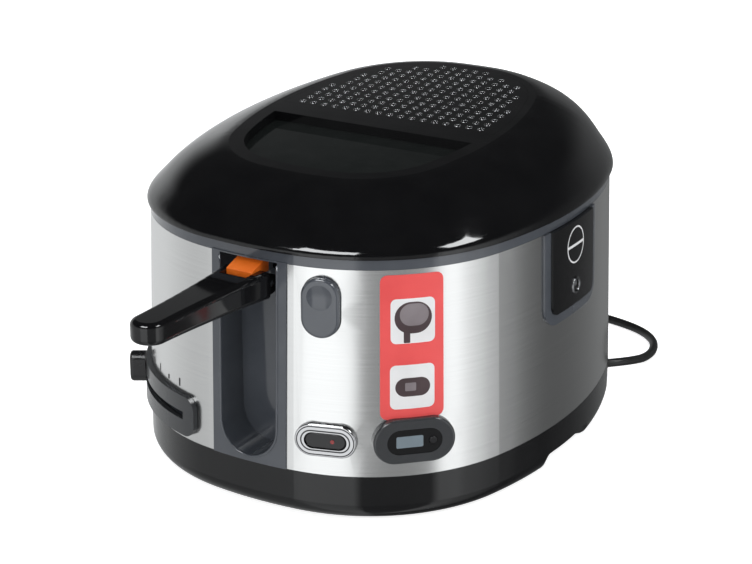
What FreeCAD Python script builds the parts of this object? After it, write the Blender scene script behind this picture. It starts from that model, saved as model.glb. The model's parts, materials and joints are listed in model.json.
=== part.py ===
"""Domestic deep fryer: a steel-wrapped oval body with a non-stick oil bowl, a wire basket on a
folding handle, a rear-hinged lid with a vent grille and a window, and controls on the wall.

Millimetres. X is the fryer's right, Y its back, Z up. Pieces are modelled round the bowl's axis and
moved at export, so that the origin is the middle of the footprint, on the table.
"""

import FreeCAD
import Part
import math
import os

V = FreeCAD.Vector
UP = V(0, 0, 1)

# Plan of the wall at the steel's top edge: eight tangent arcs, the same on both sides
FRONT_REACH = 181.0
REAR_REACH = 196.0
HALF_WIDTH = 154.0
FRONT_RADIUS = 290.0
FRONT_CORNER_RADIUS = 127.0
SIDE_RADIUS = 325.0
REAR_RADIUS = 450.0
REAR_CORNER_RADIUS = 135.0

# Heights above the table
FOOT_HEIGHT = 3.0
BASE_HEIGHT = 35.0
STEEL_HEIGHT = 150.0
RIM_HEIGHT = 7.0
LID_HEIGHT = 46.0
BASE_TOP = FOOT_HEIGHT + BASE_HEIGHT
STEEL_TOP = BASE_TOP + STEEL_HEIGHT
RIM_TOP = STEEL_TOP + RIM_HEIGHT
LID_GAP = 1.0
LID_TOP = RIM_TOP + LID_GAP + LID_HEIGHT

# Walls and clearances
FLARE = 4.9
STEEL_WALL = 0.8
SHELL_WALL = 2.4
BASE_WALL = 3.0
LID_WALL = 2.6
SEAT_GAP = 0.15
RUN_GAP = 0.35
PIN_GAP = 0.05

# Base tray
BASE_EDGE_RADIUS = 13.0
GRIP_MIDDLE_Y = 4.0
GRIP_LENGTH = 74.0
GRIP_HEIGHT = 14.0
GRIP_DEPTH = 24.0
FOOT_RADIUS = 9.0
FOOT_X = HALF_WIDTH - 66.0
FOOT_FRONT_Y = 59.0 - FRONT_REACH
FOOT_REAR_Y = REAR_REACH - 64.0

# Handle channel in the front column
COLUMN_HALF_WIDTH = 30.5
CHANNEL_HALF_WIDTH = 23.5
CHANNEL_DEPTH = 24.0
CHANNEL_FLOOR_Y = CHANNEL_DEPTH - FRONT_REACH
CHANNEL_BOTTOM = BASE_TOP + 4.0
CHANNEL_WALL = 2.4

# Oil bowl and heater
BOWL_RADIUS = HALF_WIDTH - 32.0
BOWL_WALL = 1.6
BOWL_FLANGE_Z = STEEL_TOP - 16.0
BOWL_FLOOR_Z = BASE_TOP + 40.0
BOWL_CORNER_RADIUS = 22.0
HEATER_TUBE_RADIUS = 4.0
HEATER_OPEN_ANGLE = 24.0
HEAT_PLATE_RADIUS = BOWL_RADIUS - 18.0
HEAT_PLATE_WALL = 3.0
HEATER_RADIUS = HEAT_PLATE_RADIUS - 16.0
SUPPORT_RADIUS = HEATER_RADIUS - 28.0

# Basket
BASKET_RADIUS = BOWL_RADIUS - 14.0
BASKET_FLOOR_RADIUS = BASKET_RADIUS - 10.0
BASKET_RIM_Z = BOWL_FLANGE_Z - 8.0
BASKET_FLOOR_Z = BOWL_FLOOR_Z + 8.0
BASKET_RIM_WIRE = 2.0
BASKET_WALL = 1.2
BASKET_BAND = 14.0
BASKET_SLOTS = 14
BASKET_SLOT_HALF_WIDTH = 13.0
BASKET_FLOOR_SLOTS = 5
BASKET_FLOOR_PITCH = 28.0
BASKET_FLOOR_SLOT_HALF_WIDTH = 7.0

# Handle and its pivot
PIVOT_Y = 5.0 - FRONT_REACH
PIVOT_Z = STEEL_TOP - 18.0
PIVOT_PIN_RADIUS = 2.5
HANDLE_TOP = STEEL_TOP - 7.0
HANDLE_ROOT_Y = -FRONT_REACH - 2.0
HANDLE_LENGTH = 122.0
HANDLE_TIP_Y = HANDLE_ROOT_Y - HANDLE_LENGTH
HANDLE_ROOT_HALF_WIDTH = 19.0
HANDLE_TIP_RADIUS = 12.5
HANDLE_ROOT_DEPTH = 20.0
HANDLE_TIP_DEPTH = 15.0
HANDLE_EDGE_RADIUS = 4.0
LATCH_HALF_WIDTH = 10.5
LATCH_FRONT_Y = PIVOT_Y - 16.0
LATCH_REAR_Y = PIVOT_Y + 4.0
LATCH_TOP = STEEL_TOP - 1.0
LATCH_FLOOR = HANDLE_TOP - 3.5
LATCH_TRAVEL = 8.0

# Lid
LID_PROUD = 2.2
# Rise above the lid's edge and distance in from it, once up the lid's side
LID_SECTIONS = (
    (0.0, 0.0), (4.0, 0.5), (7.5, 2.4), (14.0, 7.6), (22.0, 14.3), (29.5, 22.0), (36.0, 31.5), (41.0, 42.0),
    (44.5, 51.5), (LID_HEIGHT, 60.0),
)
LID_SLOPE = 0.0726
WINDOW_REAR_Y = 161.0 - FRONT_REACH
WINDOW_DROP = 7.0
WINDOW_WALL = 3.0
WINDOW_SILL = 5.0
VENT_FRONT_Y = 2.0
VENT_REAR_Y = REAR_REACH - 56.0
VENT_HALF_WIDTH = HALF_WIDTH - 66.0
VENT_HOLE_RADIUS = 1.6
VENT_PITCH_X = 9.6
VENT_PITCH_Y = 10.6
VENT_MARGIN = 6.0
FILTER_DEPTH = 12.0
HINGE_Y = REAR_REACH + 7.0
HINGE_Z = RIM_TOP - 4.0
HINGE_PIN_RADIUS = 2.5
HINGE_ARM_HALF_WIDTH = 24.0
HINGE_EAR_WALL = 6.0
HINGE_BARREL_RADIUS = 6.5

# Controls on the wall: the angle is the wall's normal, from straight ahead towards the right
BUTTON_ANGLE = 16.0
BUTTON_Z = STEEL_TOP - 27.0
BUTTON_WIDTH = 27.0
BUTTON_HEIGHT = 43.0
BUTTON_PROUD = 5.0
BUTTON_TRAVEL = 4.0
SWITCH_ANGLE = 17.5
SWITCH_Z = BASE_TOP + 26.5
SWITCH_WIDTH = 44.0
SWITCH_HEIGHT = 24.0
SWITCH_PROUD = 3.0
ROCKER_WIDTH = SWITCH_WIDTH - 15.0
ROCKER_HEIGHT = SWITCH_HEIGHT - 12.5
TIMER_ANGLE = 44.0
TIMER_Z = BASE_TOP + 27.0
TIMER_WIDTH = 58.0
TIMER_HEIGHT = 33.0
TIMER_PROUD = 4.0
TIMER_FACE_WIDTH = TIMER_WIDTH - 19.0
TIMER_FACE_HEIGHT = TIMER_HEIGHT - 14.5
TIMER_BUTTON_OFFSET = 13.0
TIMER_BUTTON_RADIUS = 2.6
SLIDER_ANGLE = -43.0
SLIDER_Z = BASE_TOP + 19.0
SLIDER_HALF_SPAN = 31.0
SLIDER_HEIGHT = 30.0
SLIDER_PROUD = 4.0
SLOT_HALF_SPAN = 26.0
SLOT_HEIGHT = 6.0
KNOB_REST_ANGLE = -60.0
KNOB_WIDTH = 14.0
KNOB_HEIGHT = 24.0
KNOB_PROUD = 12.0
KNOB_GAP = 0.9
KNOB_STEM_WIDTH = 7.0
KNOB_STEM_HEIGHT = SLOT_HEIGHT - 1.4
CONTROL_EDGE = 1.0

# Side panels
PANEL_WIDTH = 68.0
PANEL_FRAME = 8.0
PANEL_HEIGHT = 63.0
PANEL_BOTTOM = STEEL_TOP - PANEL_HEIGHT
PANEL_CORNER = 7.0
PANEL_SCREW_RADIUS = 4.0
PANEL_SCREW_Z = PANEL_BOTTOM + 14.0

# Mains lead: it leaves the rear right corner of the base
LEAD_DIAMETER = 7.0
RELIEF_LENGTH = 24.0
RELIEF_ROOT_RADIUS = 6.5
RELIEF_TIP_RADIUS = 4.6
# Screws, stems, laps and seats
FOOT_STEM_RADIUS = 4.0
SCREW_X = HALF_WIDTH - 84.0
SCREW_FRONT_Y = 46.0 - FRONT_REACH
SCREW_REAR_Y = REAR_REACH - 48.0
SCREW_BOSS_RADIUS = 6.0
SCREW_HEAD_RADIUS = 3.6
SCREW_HEAD_DEPTH = 3.0
SCREW_RADIUS = 1.8
SCREW_LENGTH = 16.0
COLUMN_LAP = 2.5
COLUMN_PROUD = 1.2
RIM_WIDTH = 16.0
LEDGE_DEPTH = 3.0
LEDGE_WIDTH = 6.0
DECK_GAP = 0.3
TONGUE_HALF_WIDTH = 6.0
SLOT_FOR_BRACKET = TONGUE_HALF_WIDTH + 2.0
BRACKET_PASS_Z = BOWL_FLANGE_Z + BOWL_WALL + 0.3
BRACKET_LOW = BRACKET_PASS_Z + 0.7
BRACKET_TOP = STEEL_TOP - 2.0
KNUCKLE_RADIUS = 6.8
KNUCKLE_HALF_WIDTH = 16.0
HANDLE_WAIST_HALF_WIDTH = 13.8
HANDLE_WAIST_Y = HANDLE_ROOT_Y - 59.0
PANEL_FRAME_PROUD = 1.6
PANEL_PROUD = 3.2
SUPPORT_STEM_RADIUS = 5.0
VENT_INSET = 64.0
WINDOW_INSET = 69.0
LINER_Z = RIM_TOP + LID_GAP + 1.4
TRAY_LAP = 6.0
LINER_SLOT_HALF_WIDTH = 12.0
LINER_SLOT_STEP = 36.0
LINER_SLOT_FRONT_Y = 24.0
LINER_SLOT_REAR_Y = 92.0
ARM_BOTTOM = 2.5
ARM_TOP = 8.0
ARM_STANDOFF = 3.0
LINER_WALL = 1.2
SEAL_INSET = 6.0
SEAL_WIDTH = 5.0
ARM_TUCK = 2.7
HINGE_PLATE_Y = 4.0
BUTTON_INSIDE = 9.0
BUTTON_EDGE = 2.2
DISH_RADIUS = 26.0
DISH_DEPTH = 1.6
ROCKER_GAP = 0.7
LAMP_RADIUS = 1.5
LAMP_STEP = 5.0
DISPLAY_WIDTH = 19.0
DISPLAY_HEIGHT = 8.5
DISPLAY_STEP = -3.5
TIMER_BUTTON_LENGTH = 5.0
TIE_WALL = 1.0
TIMER_WELL = 3.0
BOARD_STEP = 2.2
TIE_WIDTH = 9.0
LEAD_WALL_ANGLE = 134.0
LEAD_HEIGHT = 11.0
RELIEF_OUTSIDE = 8.0
FLOOR_LIFT = 0.1

# The lead's free route from its relief to the coil, chosen by hand, bowl frame
LEAD_ROUTE = (
    (127.8, 187.5, 7.6),
    (132.0, 205.5, 4.6),
    (130.5, 227.0, 3.6),
    (121.5, 247.0, 3.6),
    (104.5, 262.0, 3.6),
    (81.0, 270.5, 3.6),
    (53.0, 275.5, 3.6),
    (24.0, 283.0, 3.6),
    (-4.0, 298.0, 3.6),
    (-30.0, 311.0, 3.6),
)
COIL_CENTRE_X = -55.0
COIL_CENTRE_Y = 268.0
COIL_OUTER_RADIUS = 43.0
COIL_PITCH = 7.8
COIL_LAYER_RISE = 7.6
COIL_HALF_TURNS = 3
TAIL_ROUTE = ((-12.0, 221.0, 11.0), (6.0, 224.5, 12.6), (22.0, 228.0, 14.3))
TAIL_START = 20.0
LEAD_STRAIGHT = 9.0
PLUG_LENGTH = 38.0
PLUG_RADIUS = 14.0
PLUG_PIN_RADIUS = 2.4
PLUG_PIN_LENGTH = 19.0
PLUG_PIN_SPACING = 19.0

# The middle of the footprint, from the handle's tip to the hinge, is the origin
FOOTPRINT_REAR_Y = HINGE_Y + HINGE_BARREL_RADIUS
ORIGIN_SHIFT = V(0, -(HANDLE_TIP_Y + FOOTPRINT_REAR_Y) / 2.0, 0)
LID_FLOOR = RIM_TOP + LID_GAP
PIECES = {}


def add(name, *solids):
    """Keeps a named piece; several solids make one node of separate pieces."""
    PIECES[name] = list(solids)


def corner_centre(end_centre, end_radius, side_centre, corner_radius, sign):
    """Centre of the arc that is tangent inside both the end arc and the side arc."""
    r0 = end_radius - corner_radius
    r1 = SIDE_RADIUS - corner_radius
    between = side_centre - end_centre
    gap = between.Length
    along = (r0 * r0 - r1 * r1 + gap * gap) / (2.0 * gap)
    across = math.sqrt(r0 * r0 - along * along)
    unit = between / gap
    normal = V(-unit.y, unit.x, 0)
    options = [end_centre + unit * along + normal * across * s for s in (1, -1)]
    return max(options, key=lambda p: p.x + sign * p.y)


def normal_angle(vector):
    """Angle of a plan vector, in degrees from straight ahead towards the right."""
    return math.degrees(math.atan2(vector.x, -vector.y))


FRONT_CENTRE = V(0, FRONT_RADIUS - FRONT_REACH, 0)
REAR_CENTRE = V(0, REAR_REACH - REAR_RADIUS, 0)
SIDE_CENTRE = V(HALF_WIDTH - SIDE_RADIUS, 0, 0)
FRONT_CORNER = corner_centre(FRONT_CENTRE, FRONT_RADIUS, SIDE_CENTRE, FRONT_CORNER_RADIUS, -1)
REAR_CORNER = corner_centre(REAR_CENTRE, REAR_RADIUS, SIDE_CENTRE, REAR_CORNER_RADIUS, 1)
FRONT_END = normal_angle(FRONT_CORNER - FRONT_CENTRE)
SIDE_START = normal_angle(FRONT_CORNER - SIDE_CENTRE)
SIDE_END = normal_angle(REAR_CORNER - SIDE_CENTRE)
REAR_START = normal_angle(REAR_CORNER - REAR_CENTRE)


def mirrored(point):
    return V(-point.x, point.y, point.z)


# Centre, radius and the range of normals of each arc, once round from the left of the front
WALL_ARCS = (
    (FRONT_CENTRE, FRONT_RADIUS, -FRONT_END, FRONT_END),
    (FRONT_CORNER, FRONT_CORNER_RADIUS, FRONT_END, SIDE_START),
    (SIDE_CENTRE, SIDE_RADIUS, SIDE_START, SIDE_END),
    (REAR_CORNER, REAR_CORNER_RADIUS, SIDE_END, REAR_START),
    (REAR_CENTRE, REAR_RADIUS, REAR_START, 360.0 - REAR_START),
    (mirrored(REAR_CORNER), REAR_CORNER_RADIUS, 360.0 - REAR_START, 360.0 - SIDE_END),
    (mirrored(SIDE_CENTRE), SIDE_RADIUS, 360.0 - SIDE_END, 360.0 - SIDE_START),
    (mirrored(FRONT_CORNER), FRONT_CORNER_RADIUS, 360.0 - SIDE_START, 360.0 - FRONT_END),
)


def direction(angle):
    """Unit plan vector at an angle from straight ahead towards the right."""
    return V(math.sin(math.radians(angle)), -math.cos(math.radians(angle)), 0)


def wall_point(angle, z, offset):
    """Point of the offset wall whose normal stands at the angle."""
    turn = angle if angle >= -FRONT_END else angle + 360.0
    centre, radius = next((c, r) for c, r, a0, a1 in WALL_ARCS if a0 <= turn <= a1)
    return centre + direction(turn) * (radius + offset) + UP * z


def outline(z, offset):
    """Closed wire of the wall's plan at a height, grown outwards by the offset."""
    edges = []
    for centre, radius, start, end in WALL_ARCS:
        reach = radius + offset
        points = [centre + direction(a) * reach + UP * z for a in (start, (start + end) / 2.0, end)]
        edges.append(Part.Arc(*points).toShape())
    return Part.Wire(edges)


def flare_at(z):
    """How far the wall stands outside its top edge's plan at a height."""
    return FLARE * (STEEL_TOP - z) / (STEEL_TOP - BASE_TOP)


def tapered(z0, z1, inset):
    """Solid body of the flaring wall between two heights, drawn in by the inset."""
    wires = [outline(z, flare_at(z) - inset) for z in (z0, z1)]
    return Part.makeLoft(wires, True, True)


def straight(z0, z1, offset):
    """Solid body of the wall's plan with upright sides."""
    return Part.Face(outline(z0, offset)).extrude(UP * (z1 - z0))


def band(z0, z1, outer, inner):
    """Ring of the flaring wall between two insets."""
    margin = 1.0
    return tapered(z0, z1, outer).cut(tapered(z0 - margin, z1 + margin, inner))


def box(x0, x1, y0, y1, z0, z1):
    return Part.makeBox(x1 - x0, y1 - y0, z1 - z0, V(x0, y0, z0))


def post(radius, x, y, z0, z1):
    return Part.makeCylinder(radius, z1 - z0, V(x, y, z0))


def cross_pin(radius, half_length, y, z):
    """Round bar across the fryer."""
    return Part.makeCylinder(radius, 2.0 * half_length, V(-half_length, y, z), V(1, 0, 0))


def rounded_rectangle(width, height, radius):
    """Face in the XZ plane, centred on the origin."""
    w, h = width / 2.0, height / 2.0
    r = min(radius, 0.999 * w, 0.999 * h)
    k = r * (1.0 - math.sqrt(0.5))
    edges = []
    for sx, sz in ((1, 1), (-1, 1), (-1, -1), (1, -1)):
        near_side = V(sx * w, 0, sz * (h - r))
        near_end = V(sx * (w - r), 0, sz * h)
        middle = V(sx * (w - k), 0, sz * (h - k))
        ends = (near_side, near_end) if sx * sz > 0 else (near_end, near_side)
        edges.append(Part.Arc(ends[0], middle, ends[1]).toShape())
    joined = []
    for first, second in zip(edges, edges[1:] + edges[:1]):
        joined.append(first)
        joined.append(Part.LineSegment(first.lastVertex().Point, second.firstVertex().Point).toShape())
    return Part.Face(Part.Wire(joined))


def stadium(width, height):
    """Face with fully round ends, in the XZ plane."""
    return rounded_rectangle(width, height, min(width, height) / 2.0)


def on_wall(face, angle, z, out, depth):
    """Prism of a face, set square to the wall at an angle and height, from out to out minus depth."""
    prism = face.extrude(V(0, depth, 0))
    prism.translate(V(0, -out, 0))
    prism.rotate(V(0, 0, 0), UP, angle)
    prism.translate(wall_point(angle, z, flare_at(z)))
    return prism


def wall_pad(face, angle, z, half_height, out, into):
    """Piece of wall-following slab, from out beyond the wall to into behind it, cut to a face."""
    slab = band(z - half_height, z + half_height, -out, into)
    reach = 30.0
    return slab.common(on_wall(face, angle, z, reach, 2.0 * reach)).Solids[0]


def revolved(points, arcs=()):
    """Solid of a profile of (radius, z) points about the bowl's axis; arcs maps a start index to a middle point."""
    middles = dict(arcs)
    edges = []
    for index, start in enumerate(points):
        end = points[(index + 1) % len(points)]
        a, b = V(start[0], 0, start[1]), V(end[0], 0, end[1])
        if index in middles:
            edges.append(Part.Arc(a, V(middles[index][0], 0, middles[index][1]), b).toShape())
        else:
            edges.append(Part.LineSegment(a, b).toShape())
    return Part.Face(Part.Wire(edges)).revolve(V(0, 0, 0), UP, 360)


def prism_yz(points, half_width):
    """Prism of a polygon of (y, z) points, across the fryer."""
    wire = Part.makePolygon([V(-half_width, y, z) for y, z in points + points[:1]])
    return Part.Face(wire).extrude(V(2.0 * half_width, 0, 0))


def d_shape(z0, z1, inset, y_min, y_max):
    """Slab of the wall's plan drawn in by the inset and trimmed between two depths."""
    wide = 2.0 * HALF_WIDTH
    return straight(z0, z1, -inset).common(box(-wide, wide, y_min, y_max, z0 - 1.0, z1 + 1.0))


def bottom_edges(solid, z):
    return [e for e in solid.Edges if abs(e.BoundBox.ZMax - z) < 0.01 and abs(e.BoundBox.ZMin - z) < 0.01]


def grip_box(side, growth):
    """Hand recess under one side of the base, grown all round."""
    inner = HALF_WIDTH + FLARE - GRIP_DEPTH - growth
    outer = HALF_WIDTH + 3.0 * FLARE
    y0 = GRIP_MIDDLE_Y - GRIP_LENGTH / 2.0 - growth
    y1 = GRIP_MIDDLE_Y + GRIP_LENGTH / 2.0 + growth
    x0, x1 = sorted((side * inner, side * outer))
    solid = box(x0, x1, y0, y1, -1.0, FOOT_HEIGHT + GRIP_HEIGHT + growth)
    top = [e for e in bottom_edges(solid, FOOT_HEIGHT + GRIP_HEIGHT + growth) if e.BoundBox.YLength < 0.01]
    return solid.makeFillet(GRIP_HEIGHT / 2.0, top)


FEET = [(sx * FOOT_X, y) for sx in (-1, 1) for y in (FOOT_FRONT_Y, FOOT_REAR_Y)]
SCREWS = [(sx * SCREW_X, y) for sx in (-1, 1) for y in (SCREW_FRONT_Y, SCREW_REAR_Y)]
SIDES = (("right", 1), ("left", -1))


def lead_frame():
    """Point on the base's wall where the lead leaves, and the outward direction there."""
    return wall_point(LEAD_WALL_ANGLE, LEAD_HEIGHT, FLARE), direction(LEAD_WALL_ANGLE)


def make_base():
    """Tray with a well rounded lower edge, two hand recesses and a gland hole."""
    outer = straight(FOOT_HEIGHT, BASE_TOP, FLARE)
    outer = outer.makeFillet(BASE_EDGE_RADIUS, bottom_edges(outer, FOOT_HEIGHT))
    floor = FOOT_HEIGHT + BASE_WALL
    cavity = straight(floor, BASE_TOP + 1.0, FLARE - BASE_WALL)
    cavity = cavity.makeFillet(BASE_EDGE_RADIUS - BASE_WALL, bottom_edges(cavity, floor))
    for name, side in SIDES:
        cavity = cavity.cut(grip_box(side, BASE_WALL))
    tray = outer.cut(cavity)
    for name, side in SIDES:
        tray = tray.cut(grip_box(side, 0.0))
    for x, y in SCREWS:
        tray = tray.fuse(post(SCREW_BOSS_RADIUS, x, y, floor - 0.5, BASE_TOP - SEAT_GAP))
    for x, y in SCREWS:
        tray = tray.cut(post(SCREW_HEAD_RADIUS + PIN_GAP, x, y, 0, FOOT_HEIGHT + SCREW_HEAD_DEPTH))
        tray = tray.cut(post(SCREW_RADIUS + PIN_GAP, x, y, 0, FOOT_HEIGHT + SCREW_LENGTH))
    point, out = lead_frame()
    gland = Part.makeCylinder(RELIEF_ROOT_RADIUS + PIN_GAP, 3.0 * BASE_EDGE_RADIUS, point - out * 2.0 * BASE_EDGE_RADIUS, out)
    tray = tray.cut(gland)
    for x, y in FEET:
        tray = tray.cut(post(FOOT_STEM_RADIUS + PIN_GAP, x, y, 0, FOOT_HEIGHT + 2.0))
    add("base_tray", tray.removeSplitter().Solids[0])


def make_feet():
    feet = []
    for x, y in FEET:
        pad = post(FOOT_RADIUS, x, y, 0, FOOT_HEIGHT - PIN_GAP)
        pad = pad.makeFillet(FOOT_HEIGHT / 3.0, bottom_edges(pad, 0))
        feet.append(pad.fuse(post(FOOT_STEM_RADIUS, x, y, FOOT_HEIGHT - 1.0, FOOT_HEIGHT + 1.8)).removeSplitter().Solids[0])
    add("rubber_feet", *feet)


def make_base_screws():
    screws = []
    for x, y in SCREWS:
        head = post(SCREW_HEAD_RADIUS, x, y, FOOT_HEIGHT + 0.6, FOOT_HEIGHT + SCREW_HEAD_DEPTH)
        shank = post(SCREW_RADIUS, x, y, FOOT_HEIGHT + SCREW_HEAD_DEPTH - 0.2, FOOT_HEIGHT + SCREW_LENGTH - 1.0)
        slots = [box(x - a, x + a, y - b, y + b, FOOT_HEIGHT, FOOT_HEIGHT + 1.6) for a, b in ((2.4, 0.5), (0.5, 2.4))]
        screws.append(head.fuse(shank).cut(slots[0]).cut(slots[1]).removeSplitter().Solids[0])
    add("base_screws", *screws)


def control_cuts(grow):
    """Openings for the controls, through the steel and the shell behind it."""
    through = 2.0 * (STEEL_WALL + SHELL_WALL + 4.0)
    out = through / 2.0
    button = stadium(BUTTON_WIDTH + 2.0 * grow, BUTTON_HEIGHT + 2.0 * grow)
    switch = stadium(SWITCH_WIDTH - 6.0, SWITCH_HEIGHT - 6.0)
    timer = stadium(TIMER_WIDTH - 8.0, TIMER_HEIGHT - 8.0)
    cuts = [
        on_wall(button, BUTTON_ANGLE, BUTTON_Z, out, out + BUTTON_INSIDE + BUTTON_TRAVEL + 1.0),
        on_wall(switch, SWITCH_ANGLE, SWITCH_Z, out, through),
        on_wall(timer, TIMER_ANGLE, TIMER_Z, out, through),
        slot_wedge(SLOT_HALF_SPAN, SLIDER_Z - SLOT_HEIGHT / 2.0, SLIDER_Z + SLOT_HEIGHT / 2.0),
    ]
    return cuts


def slot_wedge(half_span, z0, z1):
    """Sector about the slider's own axis, deep enough to pass through the wall."""
    axis = mirrored(FRONT_CORNER)
    inner = FRONT_CORNER_RADIUS - 4.0 * SHELL_WALL
    outer = FRONT_CORNER_RADIUS + 8.0 * SHELL_WALL
    ring = Part.makeCylinder(outer, z1 - z0, axis + UP * z0, UP, 2.0 * half_span)
    ring = ring.cut(Part.makeCylinder(inner, z1 - z0, axis + UP * z0))
    ring.rotate(axis, UP, SLIDER_ANGLE - 90.0 - half_span)
    return ring


def make_steel():
    """Brushed band round the body, open in front where the column covers its ends."""
    wrap = band(BASE_TOP + SEAT_GAP, STEEL_TOP, 0.0, STEEL_WALL)
    gap = COLUMN_HALF_WIDTH - COLUMN_LAP
    wrap = wrap.cut(box(-gap, gap, -2.0 * FRONT_REACH, -FRONT_REACH / 2.0, 0, LID_TOP))
    for cut in control_cuts(RUN_GAP):
        wrap = wrap.cut(cut)
    for name, side in SIDES:
        face = rounded_rectangle(PANEL_WIDTH - PANEL_FRAME, 2.0 * (STEEL_TOP - PANEL_BOTTOM), PANEL_CORNER)
        wrap = wrap.cut(panel_prism(face, side, STEEL_TOP))
    add("steel_wrap", wrap.removeSplitter().Solids[0])


def panel_prism(face, side, z):
    """Prism through one side wall, centred on the hand recess."""
    reach = 20.0
    prism = face.extrude(V(0, 2.0 * reach, 0))
    prism.translate(V(0, -reach, 0))
    prism.rotate(V(0, 0, 0), UP, 90.0 * side)
    prism.translate(V(side * HALF_WIDTH, GRIP_MIDDLE_Y, z))
    return prism


def channel_prism(growth, top):
    """Space of the handle's channel with a round lower end, grown all round."""
    half = CHANNEL_HALF_WIDTH + growth
    low = CHANNEL_BOTTOM - growth
    face = rounded_rectangle(2.0 * half, 2.0 * (top - low), half)
    prism = face.extrude(V(0, 2.0 * FRONT_REACH, 0))
    prism.translate(V(0, CHANNEL_FLOOR_Y + growth - 2.0 * FRONT_REACH, top))
    wide = box(-half, half, -2.0 * FRONT_REACH, CHANNEL_FLOOR_Y + growth, low - 1.0, top)
    return prism.common(wide)


def make_shell():
    """Plastic body: inner wall, rim, front column and the handle's channel in one moulding."""
    inset = STEEL_WALL + SEAT_GAP
    wall = band(BASE_TOP + SEAT_GAP, STEEL_TOP + 1.0, inset, inset + SHELL_WALL)
    rim = straight(STEEL_TOP + SEAT_GAP, RIM_TOP, 0.0).cut(straight(STEEL_TOP, RIM_TOP + 1.0, -RIM_WIDTH))
    ledge_top = BOWL_FLANGE_Z - SEAT_GAP
    ledge = tapered(ledge_top - LEDGE_DEPTH, ledge_top, inset + SHELL_WALL / 2.0)
    ledge = ledge.cut(straight(ledge_top - LEDGE_DEPTH - 1.0, ledge_top + 1.0, -RIM_WIDTH - LEDGE_WIDTH))
    wide = box(-COLUMN_HALF_WIDTH, COLUMN_HALF_WIDTH, -2.0 * FRONT_REACH, -FRONT_REACH / 2.0, 0, LID_TOP)
    face = band(BASE_TOP + SEAT_GAP, STEEL_TOP + 1.0, -COLUMN_PROUD, -SEAT_GAP).common(wide)
    core = COLUMN_HALF_WIDTH - COLUMN_LAP - SEAT_GAP
    narrow = box(-core, core, -2.0 * FRONT_REACH, CHANNEL_FLOOR_Y + CHANNEL_WALL, 0, LID_TOP)
    block = tapered(BASE_TOP + SEAT_GAP, STEEL_TOP + 1.0, -COLUMN_PROUD / 2.0).common(narrow)
    behind = FRONT_REACH - (inset + SHELL_WALL) - 1.0
    hollow = box(-core, core, -behind, 0, 0, LID_TOP).cut(channel_prism(CHANNEL_WALL, LID_TOP))
    block = block.cut(hollow)
    shell = wall.multiFuse([rim, ledge, face, block])
    shell = shell.cut(channel_prism(0.0, STEEL_TOP))
    shell = shell.cut(box(-SLOT_FOR_BRACKET, SLOT_FOR_BRACKET, CHANNEL_FLOOR_Y - 1.0, -FRONT_REACH / 2.0, BRACKET_PASS_Z, STEEL_TOP))
    for cut in control_cuts(RUN_GAP):
        shell = shell.cut(cut)
    add("body_shell", max(shell.removeSplitter().Solids, key=lambda s: s.Volume))


def make_side_panels():
    """Black panel and its grey surround on each side, under the lid's edge."""
    for name, side in SIDES:
        wide = PANEL_WIDTH + 2.0 * PANEL_FRAME
        low = PANEL_BOTTOM - PANEL_FRAME
        frame_face = rounded_rectangle(wide, 2.0 * (STEEL_TOP - low), PANEL_CORNER + PANEL_FRAME)
        inner_face = rounded_rectangle(PANEL_WIDTH, 2.0 * (STEEL_TOP - PANEL_BOTTOM), PANEL_CORNER)
        gap_face = rounded_rectangle(PANEL_WIDTH + 2.0 * SEAT_GAP, 2.0 * (STEEL_TOP - PANEL_BOTTOM + SEAT_GAP), PANEL_CORNER)
        slab = band(low - 1.0, STEEL_TOP - SEAT_GAP, -PANEL_FRAME_PROUD, -PIN_GAP)
        frame = slab.common(panel_prism(frame_face, side, STEEL_TOP)).cut(panel_prism(gap_face, side, STEEL_TOP))
        lug_face = rounded_rectangle(PANEL_WIDTH - PANEL_FRAME - 1.0, 2.0 * (STEEL_TOP - PANEL_BOTTOM) - 1.0, PANEL_CORNER)
        slab = band(low - 1.0, STEEL_TOP - SEAT_GAP, -PANEL_PROUD, -PIN_GAP)
        panel = slab.common(panel_prism(inner_face, side, STEEL_TOP))
        lug = band(low - 1.0, STEEL_TOP - SEAT_GAP, -PANEL_FRAME_PROUD, STEEL_WALL)
        panel = panel.fuse(lug.common(panel_prism(lug_face, side, STEEL_TOP)))
        x = side * (HALF_WIDTH + flare_at(PANEL_SCREW_Z) + PANEL_PROUD)
        seat = Part.makeCylinder(PANEL_SCREW_RADIUS + PIN_GAP, 2.0, V(x, GRIP_MIDDLE_Y, PANEL_SCREW_Z), V(-side, 0, 0))
        panel = panel.cut(seat)
        add("panel_frame_" + name, frame.removeSplitter().Solids[0])
        add("side_panel_" + name, panel.removeSplitter().Solids[0])
        head = Part.makeCylinder(PANEL_SCREW_RADIUS, 1.4, V(x - side * 2.0, GRIP_MIDDLE_Y, PANEL_SCREW_Z), V(side, 0, 0))
        for a, b in ((2.6, 0.5), (0.5, 2.6)):
            head = head.cut(box(x - 0.9 if side > 0 else x + 0.6 - 1.0, x + 1.0 if side > 0 else x + 0.9, GRIP_MIDDLE_Y - a, GRIP_MIDDLE_Y + a, PANEL_SCREW_Z - b, PANEL_SCREW_Z + b))
        add("panel_screw_" + name, head.Solids[0])


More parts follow.
